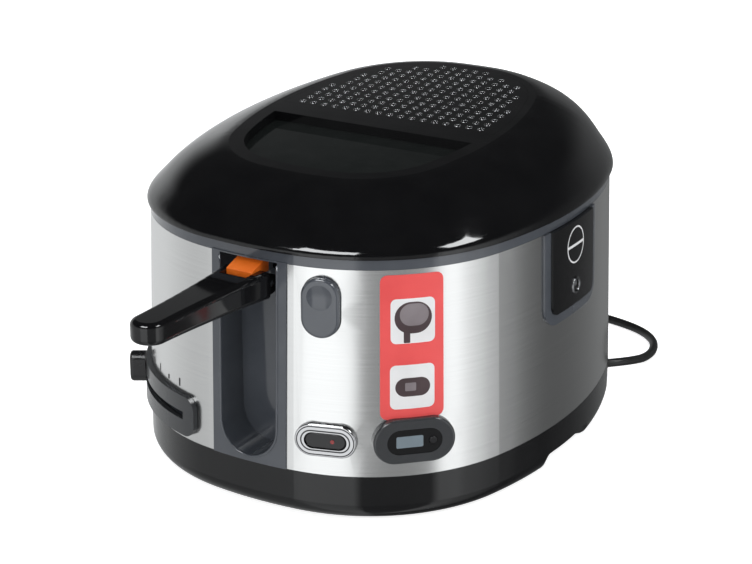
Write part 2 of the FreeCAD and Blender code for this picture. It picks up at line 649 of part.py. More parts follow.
def make_bowl():
    """Oil bowl with a flat deck out to the rim."""
    r, t, c = BOWL_RADIUS, BOWL_WALL, BOWL_CORNER_RADIUS
    z0, z1 = BOWL_FLOOR_Z, BOWL_FLANGE_Z + t
    k = 1.0 - math.sqrt(0.5)
    profile = [(0.0, z0), (r - c, z0), (r, z0 + c), (r, z1), (r - t, z1), (r - t, z0 + c), (r - c, z0 + t), (0.0, z0 + t)]
    inner = c - t
    arcs = {1: (r - c * k, z0 + c * k), 5: (r - t - inner * k, z0 + t + inner * k)}
    cup = revolved(profile, arcs)
    deck = straight(BOWL_FLANGE_Z, z1, -RIM_WIDTH - DECK_GAP).cut(post(r - t / 2.0, 0, 0, 0, LID_TOP))
    half = CHANNEL_HALF_WIDTH + CHANNEL_WALL + 1.0
    deck = deck.cut(box(-half, half, -FRONT_REACH, CHANNEL_FLOOR_Y + CHANNEL_WALL + 1.0, 0, LID_TOP))
    add("oil_bowl", cup.fuse(deck).removeSplitter().Solids[0])


def make_heater():
    """Open heating ring under a spreader plate, on three posts that stand in the base."""
    plate_top = BOWL_FLOOR_Z - PIN_GAP
    plate_low = plate_top - HEAT_PLATE_WALL
    add("heat_plate", post(HEAT_PLATE_RADIUS, 0, 0, plate_low, plate_top))
    ring_z = plate_low - HEATER_TUBE_RADIUS - PIN_GAP
    ring = Part.makeTorus(HEATER_RADIUS, HEATER_TUBE_RADIUS, V(0, 0, ring_z), UP, 0, 360, 360.0 - HEATER_OPEN_ANGLE)
    ring.rotate(V(0, 0, 0), UP, 90.0 + HEATER_OPEN_ANGLE / 2.0)
    add("heating_element", ring.Solids[0] if ring.Solids else ring)
    posts = []
    for turn in (30.0, 150.0, 270.0):
        spot = direction(turn) * SUPPORT_RADIUS
        stem = post(SUPPORT_STEM_RADIUS, spot.x, spot.y, FOOT_HEIGHT + BASE_WALL + PIN_GAP, plate_low - PIN_GAP)
        posts.append(stem.fuse(post(2.0 * SUPPORT_STEM_RADIUS, spot.x, spot.y, FOOT_HEIGHT + BASE_WALL + PIN_GAP, FOOT_HEIGHT + 2.0 * BASE_WALL)).removeSplitter().Solids[0])
    add("bowl_supports", *posts)
    fuse = Part.makeCylinder(3.0, 22.0, V(-11.0, 30.0, plate_low - 3.0 - PIN_GAP), V(1, 0, 0))
    add("thermal_fuse", fuse)
    add("thermostat_bulb", Part.makeCylinder(3.2, 70.0, V(-35.0, -24.0, plate_low - 3.2 - PIN_GAP), V(1, 0, 0)))
    floor = FOOT_HEIGHT + BASE_WALL + PIN_GAP
    block = box(-24.0, 24.0, 118.0, 136.0, floor, floor + 15.0)
    for x in (-16.0, 0.0, 16.0):
        block = block.cut(post(2.6, x, 127.0, floor + 5.0, floor + 16.0))
    add("terminal_block", block.removeSplitter().Solids[0])


def basket_cup(growth):
    """Thin cup of the basket with its rolled rim, grown on every face."""
    low, high = BASKET_FLOOR_Z - growth, BASKET_RIM_Z
    floor_radius, rim_radius = BASKET_FLOOR_RADIUS + growth, BASKET_RADIUS + growth
    wall = BASKET_WALL + 2.0 * growth
    cup = revolved([(0.0, low), (floor_radius, low), (rim_radius, high), (rim_radius - wall, high),
                    (floor_radius - wall, low + wall), (0.0, low + wall)])
    rim = Part.makeTorus(BASKET_RADIUS - BASKET_WALL / 2.0, BASKET_RIM_WIRE + growth, V(0, 0, BASKET_RIM_Z))
    return cup.fuse(rim)


def make_basket():
    """Slotted basket: upright slots round its wall and long ones in its floor."""
    cup = basket_cup(0.0)
    low, high = BASKET_FLOOR_Z + BASKET_BAND, BASKET_RIM_Z - BASKET_BAND
    for index in range(BASKET_SLOTS):
        slot = box(-BASKET_SLOT_HALF_WIDTH, BASKET_SLOT_HALF_WIDTH, -1.1 * BASKET_RADIUS, -0.7 * BASKET_RADIUS, low, high)
        slot.rotate(V(0, 0, 0), UP, 360.0 * (index + 0.5) / BASKET_SLOTS)
        cup = cup.cut(slot)
    reach = BASKET_FLOOR_RADIUS - BASKET_BAND
    for index in range(BASKET_FLOOR_SLOTS):
        x = (index - (BASKET_FLOOR_SLOTS - 1) / 2.0) * BASKET_FLOOR_PITCH
        y = math.sqrt(reach * reach - x * x)
        cup = cup.cut(box(x - BASKET_FLOOR_SLOT_HALF_WIDTH, x + BASKET_FLOOR_SLOT_HALF_WIDTH, -y, y,
                          BASKET_FLOOR_Z - 1.0, BASKET_FLOOR_Z + 2.0 * BASKET_WALL))
    add("basket_mesh", max(cup.removeSplitter().Solids, key=lambda s: s.Volume))


def make_bracket():
    """Plate that carries the basket from the handle's pin, over the bowl's deck."""
    low, top = BRACKET_LOW, BRACKET_TOP
    plate = prism_yz([(PIVOT_Y, PIVOT_Z - KNUCKLE_RADIUS), (PIVOT_Y + KNUCKLE_RADIUS, PIVOT_Z - KNUCKLE_RADIUS),
                      (PIVOT_Y + KNUCKLE_RADIUS + 4.0, low), (-BASKET_RADIUS - 6.0, low),
                      (-BASKET_RADIUS - 3.0, BASKET_RIM_Z - 22.0), (-BASKET_RADIUS + BASKET_RIM_WIRE + 1.0, BASKET_RIM_Z - 22.0),
                      (-BASKET_RADIUS + BASKET_RIM_WIRE + 1.0, low + 6.0), (-BASKET_RADIUS - 8.0, top),
                      (LATCH_REAR_Y + 3.0, top), (LATCH_REAR_Y + 1.0, PIVOT_Z + KNUCKLE_RADIUS), (PIVOT_Y, PIVOT_Z + KNUCKLE_RADIUS)], TONGUE_HALF_WIDTH)
    plate = plate.fuse(cross_pin(KNUCKLE_RADIUS, TONGUE_HALF_WIDTH, PIVOT_Y, PIVOT_Z))
    plate = plate.cut(cross_pin(PIVOT_PIN_RADIUS + PIN_GAP, HALF_WIDTH, PIVOT_Y, PIVOT_Z))
    plate = plate.cut(basket_cup(PIN_GAP))
    add("basket_bracket", max(plate.removeSplitter().Solids, key=lambda s: s.Volume))
    add("pivot_pin", cross_pin(PIVOT_PIN_RADIUS, KNUCKLE_HALF_WIDTH - 0.5, PIVOT_Y, PIVOT_Z))


def grip_solid():
    """Grip as its plan outline through its side outline, with its long edges rounded."""
    tip_y = HANDLE_TIP_Y + HANDLE_TIP_RADIUS
    low, high = HANDLE_TOP - HANDLE_ROOT_DEPTH, HANDLE_TOP
    root = V(HANDLE_ROOT_HALF_WIDTH, HANDLE_ROOT_Y, low)
    waist = V(HANDLE_WAIST_HALF_WIDTH, HANDLE_WAIST_Y, low)
    end = V(HANDLE_TIP_RADIUS, tip_y, low)
    edges = [
        Part.LineSegment(mirrored(root), root).toShape(),
        Part.Arc(root, waist, end).toShape(),
        Part.Arc(end, V(0, HANDLE_TIP_Y, low), mirrored(end)).toShape(),
        Part.Arc(mirrored(end), mirrored(waist), mirrored(root)).toShape(),
    ]
    plan = Part.Face(Part.Wire(edges)).extrude(UP * (high - low))
    side = prism_yz([(HANDLE_ROOT_Y, low), (HANDLE_ROOT_Y, high), (HANDLE_TIP_Y - 1.0, high), (HANDLE_TIP_Y - 1.0, high - HANDLE_TIP_DEPTH)],
                    2.0 * HANDLE_ROOT_HALF_WIDTH)
    grip = plan.common(side).removeSplitter().Solids[0]
    rims = [e for e in grip.Edges if e.BoundBox.YMin < HANDLE_ROOT_Y - 1.0 and e.BoundBox.XLength + e.BoundBox.YLength > HANDLE_TIP_DEPTH]
    return grip.makeFillet(HANDLE_EDGE_RADIUS, rims)


def make_handle():
    """Tapering grip, its two knuckles, and the sliding catch in a pocket on top."""
    grip = grip_solid()
    for sign in (1, -1):
        inner, outer = TONGUE_HALF_WIDTH + RUN_GAP, KNUCKLE_HALF_WIDTH
        x0, x1 = sorted((sign * inner, sign * outer))
        lug = Part.makeCylinder(KNUCKLE_RADIUS, x1 - x0, V(x0, PIVOT_Y, PIVOT_Z), V(1, 0, 0))
        lug = lug.fuse(box(x0, x1, HANDLE_ROOT_Y - 1.0, PIVOT_Y, PIVOT_Z - KNUCKLE_RADIUS, PIVOT_Z + KNUCKLE_RADIUS))
        grip = grip.fuse(lug)
    tongue = box(-TONGUE_HALF_WIDTH - RUN_GAP, TONGUE_HALF_WIDTH + RUN_GAP, PIVOT_Y - KNUCKLE_RADIUS - 0.6, 0, PIVOT_Z - 2.0 * KNUCKLE_RADIUS, PIVOT_Z + KNUCKLE_RADIUS + 0.2)
    grip = grip.cut(tongue)
    pocket = LATCH_HALF_WIDTH + RUN_GAP
    grip = grip.cut(box(-pocket, pocket, LATCH_FRONT_Y - LATCH_TRAVEL - 0.6, 0, LATCH_FLOOR - RUN_GAP, HANDLE_TOP + 1.0))
    grip = grip.cut(cross_pin(PIVOT_PIN_RADIUS + PIN_GAP, HALF_WIDTH, PIVOT_Y, PIVOT_Z))
    add("handle_grip", max(grip.removeSplitter().Solids, key=lambda s: s.Volume))
    face = prism_yz([(LATCH_FRONT_Y, LATCH_FLOOR), (LATCH_REAR_Y, LATCH_FLOOR), (LATCH_REAR_Y, LATCH_TOP), (LATCH_REAR_Y - 4.0, LATCH_TOP),
                     (LATCH_FRONT_Y + 3.0, HANDLE_TOP + 2.0), (LATCH_FRONT_Y, HANDLE_TOP + 0.8)], LATCH_HALF_WIDTH)
    upright = [e for e in face.Edges if e.BoundBox.XLength > LATCH_HALF_WIDTH and e.BoundBox.ZMin > LATCH_FLOOR + 1.0]
    add("handle_latch", face.makeFillet(0.8, upright).Solids[0])


def lid_wire(rise, inset):
    """Section of the lid, tipped up towards the rear the more the higher it lies."""
    wire = outline(0, LID_PROUD - inset)
    wire.rotate(V(0, 0, 0), V(1, 0, 0), math.degrees(math.atan(LID_SLOPE * rise / LID_HEIGHT)))
    wire.translate(UP * (LID_FLOOR + rise))
    return wire


def lid_solid(wall):
    """Solid dome through the lid's sections, drawn in by a wall square to its side."""
    wires = []
    last = len(LID_SECTIONS) - 1
    for index, (rise, inset) in enumerate(LID_SECTIONS):
        rise0, inset0 = LID_SECTIONS[max(index - 1, 0)]
        rise1, inset1 = LID_SECTIONS[min(index + 1, last)]
        lean = math.atan2(inset1 - inset0, rise1 - rise0) if 0 < index < last else math.radians(90.0 * (index > 0))
        wires.append(lid_wire(rise - wall * math.sin(lean), inset + wall * math.cos(lean)))
    if wall > 0.0:
        wires[0] = lid_wire(-LID_GAP, wall)
    return Part.makeLoft(wires, True, False)


def on_lid(shape):
    """Tips a level shape, drawn at the lid's top height, into the lid's sloping top."""
    shape.rotate(V(0, 0, LID_TOP), V(1, 0, 0), math.degrees(math.atan(LID_SLOPE)))
    return shape


def lid_slab(z0, z1, inset, y_min, y_max):
    """Slab in the lid's sloping top, from z0 to z1 before it is tipped."""
    return on_lid(d_shape(z0, z1, inset, y_min, y_max))


def vent_holes(z0, z1):
    """Rows of round holes that stay clear of the grille's edge."""
    edge = Part.Face(outline(0, -VENT_INSET - VENT_MARGIN))
    holes = []
    rows = int((VENT_REAR_Y - VENT_FRONT_Y) / VENT_PITCH_Y) + 1
    columns = int(VENT_HALF_WIDTH / VENT_PITCH_X) + 1
    for row in range(rows):
        y = VENT_FRONT_Y + VENT_MARGIN + row * VENT_PITCH_Y
        for column in range(-columns, columns + 1):
            x = column * VENT_PITCH_X
            if edge.isInside(V(x, y, 0), 0.01, True):
                holes.append(post(VENT_HOLE_RADIUS, x, y, z0, z1))
    return holes


def make_lid():
    """Lid shell with its recess for the window and its seat for the grille."""
    shell = lid_solid(0.0).cut(lid_solid(LID_WALL))
    top = LID_TOP + 1.0
    window_top = LID_TOP - WINDOW_DROP
    sill = WINDOW_INSET + WINDOW_SILL
    tub_low = window_top - WINDOW_WALL
    shell = shell.cut(lid_slab(window_top - 1.0, top, WINDOW_INSET, -FRONT_REACH, WINDOW_REAR_Y))
    tub_outer = lid_slab(tub_low - LID_WALL, LID_TOP - 0.5, WINDOW_INSET - LID_WALL, -FRONT_REACH, WINDOW_REAR_Y + LID_WALL)
    tub_inner = lid_slab(tub_low, top, WINDOW_INSET, -FRONT_REACH, WINDOW_REAR_Y)
    opening = lid_slab(tub_low - 2.0 * LID_WALL, top, sill, -FRONT_REACH, WINDOW_REAR_Y - WINDOW_SILL)
    rest_low = LID_TOP - 2.0 * LID_WALL
    shell = shell.cut(lid_slab(rest_low, top, VENT_INSET - SEAT_GAP, VENT_FRONT_Y - SEAT_GAP, REAR_REACH))
    rest = lid_slab(rest_low, LID_TOP - LID_WALL - SEAT_GAP, VENT_INSET - 2.0, VENT_FRONT_Y - 2.0, REAR_REACH)
    rest = rest.cut(lid_slab(rest_low - LID_WALL, top, VENT_INSET + 2.0, VENT_FRONT_Y + 2.0, REAR_REACH))
    shell = shell.fuse(tub_outer.cut(tub_inner).cut(opening)).fuse(rest)
    shell = shell.cut(tub_inner)
    shell = shell.cut(lid_arm(PIN_GAP))
    add("lid_shell", max(shell.removeSplitter().Solids, key=lambda s: s.Volume))
    pane = lid_slab(tub_low + PIN_GAP, window_top, WINDOW_INSET + SEAT_GAP, -FRONT_REACH, WINDOW_REAR_Y - SEAT_GAP)
    add("lid_window", pane.Solids[0])
    grille = d_shape(LID_TOP - LID_WALL, LID_TOP, VENT_INSET, VENT_FRONT_Y, REAR_REACH)
    grille = grille.cut(Part.makeCompound(vent_holes(rest_low, top)))
    add("vent_grille", on_lid(grille).Solids[0])


def make_lid_inside():
    """Filter pad under the grille, the liner that carries it and the seal."""
    pad_top = LID_TOP - 2.0 * LID_WALL - PIN_GAP
    filter_pad = lid_slab(pad_top - FILTER_DEPTH, pad_top, VENT_INSET - 1.0, VENT_FRONT_Y - 1.0, REAR_REACH)
    add("filter_pad", filter_pad.Solids[0])
    tray_inset = VENT_INSET + TRAY_LAP
    tray_front = VENT_FRONT_Y + TRAY_LAP
    tray_rear = REAR_REACH - tray_inset - LINER_WALL
    tray = lid_slab(RIM_TOP - LID_HEIGHT, pad_top - FILTER_DEPTH - PIN_GAP, tray_inset, tray_front, REAR_REACH)
    hollow = lid_slab(RIM_TOP - 2.0 * LID_HEIGHT, LID_TOP, tray_inset + LINER_WALL, tray_front + LINER_WALL, tray_rear)
    wide = 2.0 * REAR_REACH
    tray = tray.cut(hollow).cut(box(-wide, wide, -wide, wide, 0.0, LINER_Z))
    edge = LID_PROUD - LID_SECTIONS[1][1] - LID_WALL - 2.0 * SEAT_GAP
    liner = straight(LINER_Z, LINER_Z + LINER_WALL, edge).fuse(tray)
    sill = WINDOW_INSET + WINDOW_SILL
    liner = liner.cut(d_shape(0, LINER_Z + 2.0 * LINER_WALL, sill, -FRONT_REACH, WINDOW_REAR_Y - WINDOW_SILL))
    for index in range(4):
        x = (index - 1.5) * LINER_SLOT_STEP
        slot = box(x - LINER_SLOT_HALF_WIDTH, x + LINER_SLOT_HALF_WIDTH, LINER_SLOT_FRONT_Y, LINER_SLOT_REAR_Y,
                   LINER_Z - 1.0, LINER_Z + 2.0 * LINER_WALL)
        liner = liner.cut(slot)
    add("lid_liner", max(liner.removeSplitter().Solids, key=lambda s: s.Volume))
    seal = straight(RIM_TOP + PIN_GAP, LINER_Z - PIN_GAP, -SEAL_INSET)
    seal = seal.cut(straight(RIM_TOP, LINER_Z, -SEAL_INSET - SEAL_WIDTH))
    add("lid_seal", seal.Solids[0])


def lid_arm(growth):
    """Arm from the lid's rear edge down to the hinge's barrel."""
    rear = REAR_REACH + LID_PROUD
    low, high = LID_FLOOR + ARM_BOTTOM, LID_FLOOR + ARM_TOP
    tuck = rear - ARM_TUCK - growth
    back = HINGE_Y + HINGE_BARREL_RADIUS
    points = [(tuck, low - growth), (rear + ARM_STANDOFF, low - growth), (HINGE_Y - 2.0, HINGE_Z), (back, HINGE_Z),
              (back, HINGE_Z + 4.0), (rear + 4.0, high), (tuck, high + growth)]
    return prism_yz(points, HINGE_ARM_HALF_WIDTH + growth)


def make_hinge():
    """Lid arm with its barrel, the bracket on the body's rear and the pin."""
    barrel = cross_pin(HINGE_BARREL_RADIUS, HINGE_ARM_HALF_WIDTH, HINGE_Y, HINGE_Z)
    arm = lid_arm(0.0).fuse(barrel)
    arm = arm.cut(cross_pin(HINGE_PIN_RADIUS + PIN_GAP, HALF_WIDTH, HINGE_Y, HINGE_Z))
    add("lid_hinge_arm", max(arm.removeSplitter().Solids, key=lambda s: s.Volume))
    inner, outer = HINGE_ARM_HALF_WIDTH + RUN_GAP, HINGE_ARM_HALF_WIDTH + RUN_GAP + HINGE_EAR_WALL
    low = HINGE_Z - 34.0
    back = box(-outer, outer, REAR_REACH, REAR_REACH + HINGE_PLATE_Y, low, HINGE_Z - HINGE_BARREL_RADIUS - 1.0)
    plate = back.cut(tapered(low - 1.0, HINGE_Z, -SEAT_GAP))
    for sign in (1, -1):
        x0, x1 = sorted((sign * inner, sign * outer))
        ear = Part.makeCylinder(HINGE_BARREL_RADIUS, x1 - x0, V(x0, HINGE_Y, HINGE_Z), V(1, 0, 0))
        ear = ear.fuse(box(x0, x1, HINGE_Y - HINGE_BARREL_RADIUS, REAR_REACH + HINGE_PLATE_Y, low, HINGE_Z))
        ear = ear.cut(tapered(low - 1.0, HINGE_Z + 1.0, -SEAT_GAP)).cut(straight(STEEL_TOP - 5.0, LID_TOP, SEAT_GAP))
        plate = plate.fuse(ear)
    plate = plate.cut(cross_pin(HINGE_PIN_RADIUS + PIN_GAP, HALF_WIDTH, HINGE_Y, HINGE_Z))
    add("hinge_bracket", max(plate.removeSplitter().Solids, key=lambda s: s.Volume))
    add("hinge_pin", cross_pin(HINGE_PIN_RADIUS, outer - 0.3, HINGE_Y, HINGE_Z))


def softened(prism, out, angle, z, radius):
    """Rounds the edges of the prism's outer face."""
    face_point = wall_point(angle, z, flare_at(z) + out)
    normal = direction(angle)
    edges = [e for e in prism.Edges if all(abs((v.Point - face_point).dot(normal)) < 0.05 for v in e.Vertexes)
             and abs((e.CenterOfMass - face_point).dot(normal)) < 0.05]
    return prism.makeFillet(radius, edges)


def make_button():
    """Lid release: an upright oval push button in a guide behind the wall."""
    face = stadium(BUTTON_WIDTH, BUTTON_HEIGHT)
    depth = BUTTON_PROUD + BUTTON_INSIDE
    button = softened(on_wall(face, BUTTON_ANGLE, BUTTON_Z, BUTTON_PROUD, depth), BUTTON_PROUD, BUTTON_ANGLE, BUTTON_Z, BUTTON_EDGE)
    normal = direction(BUTTON_ANGLE)
    dish_z = BUTTON_Z + BUTTON_HEIGHT / 2.0 - BUTTON_WIDTH / 2.0
    centre = wall_point(BUTTON_ANGLE, BUTTON_Z, flare_at(BUTTON_Z) + BUTTON_PROUD + DISH_RADIUS - DISH_DEPTH)
    button = button.cut(Part.makeSphere(DISH_RADIUS, V(centre.x, centre.y, dish_z)))
    add("release_button", button.removeSplitter().Solids[0])
    inside = STEEL_WALL + SHELL_WALL + 2.0 * SEAT_GAP
    cup = on_wall(stadium(BUTTON_WIDTH + 6.0, BUTTON_HEIGHT + 4.0), BUTTON_ANGLE, BUTTON_Z, -inside, BUTTON_INSIDE + BUTTON_TRAVEL)
    space = on_wall(stadium(BUTTON_WIDTH + 2.0 * RUN_GAP, BUTTON_HEIGHT + 2.0 * RUN_GAP), BUTTON_ANGLE, BUTTON_Z, 0.0, BUTTON_INSIDE + BUTTON_TRAVEL + 0.6)
    guide = cup.cut(space).cut(band(BUTTON_Z - BUTTON_HEIGHT, STEEL_TOP + 1.0, -1.0, inside))
    guide = guide.cut(tapered_ledge_space())
    add("button_guide", max(guide.removeSplitter().Solids, key=lambda s: s.Volume))


def tapered_ledge_space():
    """The shell's ledge and the bowl's deck, which the guide stays under."""
    return box(-HALF_WIDTH, HALF_WIDTH, -2.0 * FRONT_REACH, 0, BOWL_FLANGE_Z - LEDGE_DEPTH - 2.0 * SEAT_GAP, LID_TOP)


def make_switch():
    """Bright oval surround, rocker, lamp and the body behind the wall."""
    angle, z = SWITCH_ANGLE, SWITCH_Z
    inside = STEEL_WALL + SEAT_GAP + SHELL_WALL
    outer = stadium(SWITCH_WIDTH, SWITCH_HEIGHT)
    bezel = softened(on_wall(outer, angle, z, SWITCH_PROUD, SWITCH_PROUD + 3.0), SWITCH_PROUD, angle, z, CONTROL_EDGE)
    bezel = bezel.cut(tapered(z - SWITCH_HEIGHT, z + SWITCH_HEIGHT, -PIN_GAP))
    neck = on_wall(stadium(SWITCH_WIDTH - 7.0, SWITCH_HEIGHT - 7.0), angle, z, 1.0, inside + 1.0)
    bezel = bezel.fuse(neck)
    hole = stadium(ROCKER_WIDTH + 2.0 * ROCKER_GAP, ROCKER_HEIGHT + 2.0 * RUN_GAP)
    bezel = bezel.cut(on_wall(hole, angle, z, SWITCH_PROUD + 1.0, SWITCH_PROUD + inside + 8.0))
    add("switch_bezel", max(bezel.removeSplitter().Solids, key=lambda s: s.Volume))
    rocker = on_wall(stadium(ROCKER_WIDTH, ROCKER_HEIGHT), angle, z, SWITCH_PROUD - 0.4, SWITCH_PROUD + 2.2)
    rocker = softened(rocker, SWITCH_PROUD - 0.4, angle, z, CONTROL_EDGE)
    lamp_spot = wall_point(angle, z, flare_at(z)) + lamp_offset()
    normal = direction(angle)
    rocker = rocker.cut(Part.makeCylinder(LAMP_RADIUS + PIN_GAP, 4.0, lamp_spot + normal * (SWITCH_PROUD - 2.0), normal))
    add("switch_rocker", rocker.removeSplitter().Solids[0])
    add("pilot_lamp", Part.makeCylinder(LAMP_RADIUS, 1.9, lamp_spot + normal * (SWITCH_PROUD - 2.0 + PIN_GAP), normal))
    body = on_wall(stadium(SWITCH_WIDTH - 8.0, SWITCH_HEIGHT - 7.6), angle, z, -inside - PIN_GAP, 16.0)
    body = body.cut(on_wall(stadium(ROCKER_WIDTH + 2.0, ROCKER_HEIGHT + 2.0), angle, z, 0.0, inside + 3.0))
    add("switch_body", body.Solids[0])


def lamp_offset():
    """Step from the rocker's middle to the lamp, along the wall."""
    along = V(math.cos(math.radians(SWITCH_ANGLE)), math.sin(math.radians(SWITCH_ANGLE)), 0)
    return along * LAMP_STEP


def make_timer():
    """Oval surround, dark face, display, push button and the board behind."""
    angle, z = TIMER_ANGLE, TIMER_Z
    inside = STEEL_WALL + SEAT_GAP + SHELL_WALL
    bezel = softened(on_wall(stadium(TIMER_WIDTH, TIMER_HEIGHT), angle, z, TIMER_PROUD, TIMER_PROUD + 5.0), TIMER_PROUD, angle, z, 2.0 * CONTROL_EDGE)
    bezel = bezel.cut(tapered(z - TIMER_HEIGHT, z + TIMER_HEIGHT, -PIN_GAP))
    bezel = bezel.fuse(on_wall(stadium(TIMER_WIDTH - 9.0, TIMER_HEIGHT - 9.0), angle, z, 1.0, inside + 1.0))
    well = stadium(TIMER_FACE_WIDTH + 2.0 * PIN_GAP, TIMER_FACE_HEIGHT + 2.0 * PIN_GAP)
    bezel = bezel.cut(on_wall(well, angle, z, TIMER_PROUD + 1.0, TIMER_WELL + 1.0))
    add("timer_bezel", max(bezel.removeSplitter().Solids, key=lambda s: s.Volume))
    along = V(math.cos(math.radians(angle)), math.sin(math.radians(angle)), 0)
    face_out = TIMER_PROUD - 0.5
    face = on_wall(stadium(TIMER_FACE_WIDTH, TIMER_FACE_HEIGHT), angle, z, face_out, face_out - TIMER_PROUD + TIMER_WELL - PIN_GAP)
    display_face = rounded_rectangle(DISPLAY_WIDTH, DISPLAY_HEIGHT, 1.0)
    display = on_wall(display_face, angle, z, face_out + 0.1, 0.6)
    display.translate(along * DISPLAY_STEP)
    pocket = on_wall(rounded_rectangle(DISPLAY_WIDTH + 2.0 * PIN_GAP, DISPLAY_HEIGHT + 2.0 * PIN_GAP, 1.0), angle, z, face_out + 1.0, 1.55)
    pocket.translate(along * DISPLAY_STEP)
    spot = wall_point(angle, z, flare_at(z)) + along * TIMER_BUTTON_OFFSET
    normal = direction(angle)
    bore = Part.makeCylinder(TIMER_BUTTON_RADIUS + RUN_GAP, 2.0 * TIMER_PROUD + 4.0, spot - normal * 6.0, normal)
    add("timer_face", face.cut(pocket).cut(bore).removeSplitter().Solids[0])
    add("timer_display", display.Solids[0])
    PIECES["timer_bezel"] = [PIECES["timer_bezel"][0].cut(bore).removeSplitter().Solids[0]]
    button = Part.makeCylinder(TIMER_BUTTON_RADIUS, TIMER_BUTTON_LENGTH, spot + normal * (face_out + 0.9 - TIMER_BUTTON_LENGTH), normal)
    tip = [e for e in button.Edges if (e.CenterOfMass - spot).dot(normal) > face_out and len(e.Vertexes) == 1]
    add("timer_button", button.makeFillet(0.6, tip).Solids[0])
    board = on_wall(rounded_rectangle(TIMER_WIDTH - 14.0, TIMER_HEIGHT - 14.0, 2.0), angle, z, -inside - BOARD_STEP, 1.6)
    add("timer_board", board.Solids[0])


def make_slider():
    """Curved scale plate with its slot, the thermostat behind it and the sliding knob."""
    axis = mirrored(FRONT_CORNER)
    z0, z1 = SLIDER_Z - SLIDER_HEIGHT / 2.0, SLIDER_Z + SLIDER_HEIGHT / 2.0
    sector = slot_wedge(SLIDER_HALF_SPAN, z0, z1)
    plate = band(z0, z1, -SLIDER_PROUD, -SEAT_GAP).common(sector)
    ends = [e for e in plate.Edges if e.BoundBox.ZLength < 1.0 and e.BoundBox.XLength < 3.0 * SLIDER_PROUD and e.BoundBox.YLength < 3.0 * SLIDER_PROUD]
    plate = plate.makeFillet(SLIDER_HEIGHT / 3.0, ends)
    plate = plate.cut(slot_wedge(SLOT_HALF_SPAN, SLIDER_Z - SLOT_HEIGHT / 2.0, SLIDER_Z + SLOT_HEIGHT / 2.0))
    add("slider_bezel", plate.removeSplitter().Solids[0])
    stem_face = rounded_rectangle(KNOB_STEM_WIDTH, KNOB_STEM_HEIGHT, 1.0)
    out = SLIDER_PROUD + KNOB_GAP + KNOB_PROUD
    inside = STEEL_WALL + SHELL_WALL + 6.0
    stem = on_wall(stem_face, KNOB_REST_ANGLE, SLIDER_Z, SLIDER_PROUD + 2.0, SLIDER_PROUD + 2.0 + inside)
    cap_face = rounded_rectangle(KNOB_WIDTH, KNOB_HEIGHT, KNOB_WIDTH / 2.0)
    cap = softened(on_wall(cap_face, KNOB_REST_ANGLE, SLIDER_Z, out, KNOB_PROUD), out, KNOB_REST_ANGLE, SLIDER_Z, 2.5)
    add("temperature_knob", cap.fuse(stem).removeSplitter().Solids[0])
    depth = STEEL_WALL + SHELL_WALL + 2.0 * SEAT_GAP
    body = on_wall(rounded_rectangle(46.0, 34.0, 2.0), SLIDER_ANGLE, SLIDER_Z, 0.0, 26.0)
    body = body.cut(tapered_ring(depth)).cut(slot_wedge(SLOT_HALF_SPAN + 4.0, SLIDER_Z - SLOT_HEIGHT, SLIDER_Z + SLOT_HEIGHT))
    add("thermostat_body", max(body.removeSplitter().Solids, key=lambda s: s.Volume))


def tapered_ring(depth):
    """Everything outside the wall's inner side, where the thermostat stands."""
    z0, z1 = SLIDER_Z - 2.0 * SLIDER_HEIGHT / 3.0, SLIDER_Z + 2.0 * SLIDER_HEIGHT / 3.0
    return band(z0, z1, -2.0 * SLIDER_PROUD, depth)


def rounded_path(points):
    """Straight runs joined by tangent arcs."""
    edges = []
    last = points[0]
    for before, corner, after in zip(points, points[1:], points[2:]):
        a, b = before - corner, after - corner
        half = math.acos(max(-1.0, min(1.0, -a.dot(b) / (a.Length * b.Length)))) / 2.0
        reach = 0.45 * min(a.Length, b.Length)
        radius = reach / math.tan(half)
        print("bend radius %.0f mm" % radius)
        start = corner + a / a.Length * reach
        end = corner + b / b.Length * reach
        inward = a / a.Length + b / b.Length
        inward = inward / inward.Length
        middle = corner + inward * (radius / math.cos(half) - radius)
        if (start - last).Length > 0.001:
            edges.append(Part.LineSegment(last, start).toShape())
        edges.append(Part.Arc(start, middle, end).toShape())
        last = end
    edges.append(Part.LineSegment(last, points[-1]).toShape())
    return Part.Wire(edges)


def tube(path, radius):
    """Round tube along a wire."""
    first = path.OrderedEdges[0]
    start = first.valueAt(first.FirstParameter)
    tangent = first.tangentAt(first.FirstParameter)
    profile = Part.Wire(Part.makeCircle(radius, start, tangent))
    return path.makePipeShell([profile], True, False)


def coil_path():
    """Loops that spiral in on the floor, climb, and spiral out again on top."""
    edges = []
    centre_x, z = COIL_CENTRE_X, FLOOR_LIFT + LEAD_DIAMETER / 2.0
    radius = COIL_OUTER_RADIUS
    step = COIL_PITCH / 2.0
    start = V(centre_x, COIL_CENTRE_Y + radius, z)
    y, sign = start.y, 1
    levels = [(0.0, 0.0)] * COIL_HALF_TURNS + [(0.0, 1.0)] + [(1.0, 1.0)] * COIL_HALF_TURNS
    for index, (low, high) in enumerate(levels):
        if index > 0:
            radius += -step if index <= COIL_HALF_TURNS else step
        y_end = y - sign * 2.0 * radius
        middle_y = (y + y_end) / 2.0
        za, zb = z + low * COIL_LAYER_RISE, z + high * COIL_LAYER_RISE
        points = (V(centre_x, y, za), V(centre_x - sign * radius, middle_y, (za + zb) / 2.0), V(centre_x, y_end, zb))
        edges.append(Part.Arc(*points).toShape())
        y, sign = y_end, -sign
    return Part.Wire(edges), start


def least_self_gap(path, diameter):
    """Least gap between parts of a tube that are more than a quarter turn apart along it."""
    count = 420
    points = path.discretize(Number=count)
    skip = int(count * 0.5 * math.pi * COIL_OUTER_RADIUS / path.Length)
    near = min((points[i] - points[j]).Length for i in range(count) for j in range(i + skip, count))
    return near - diameter


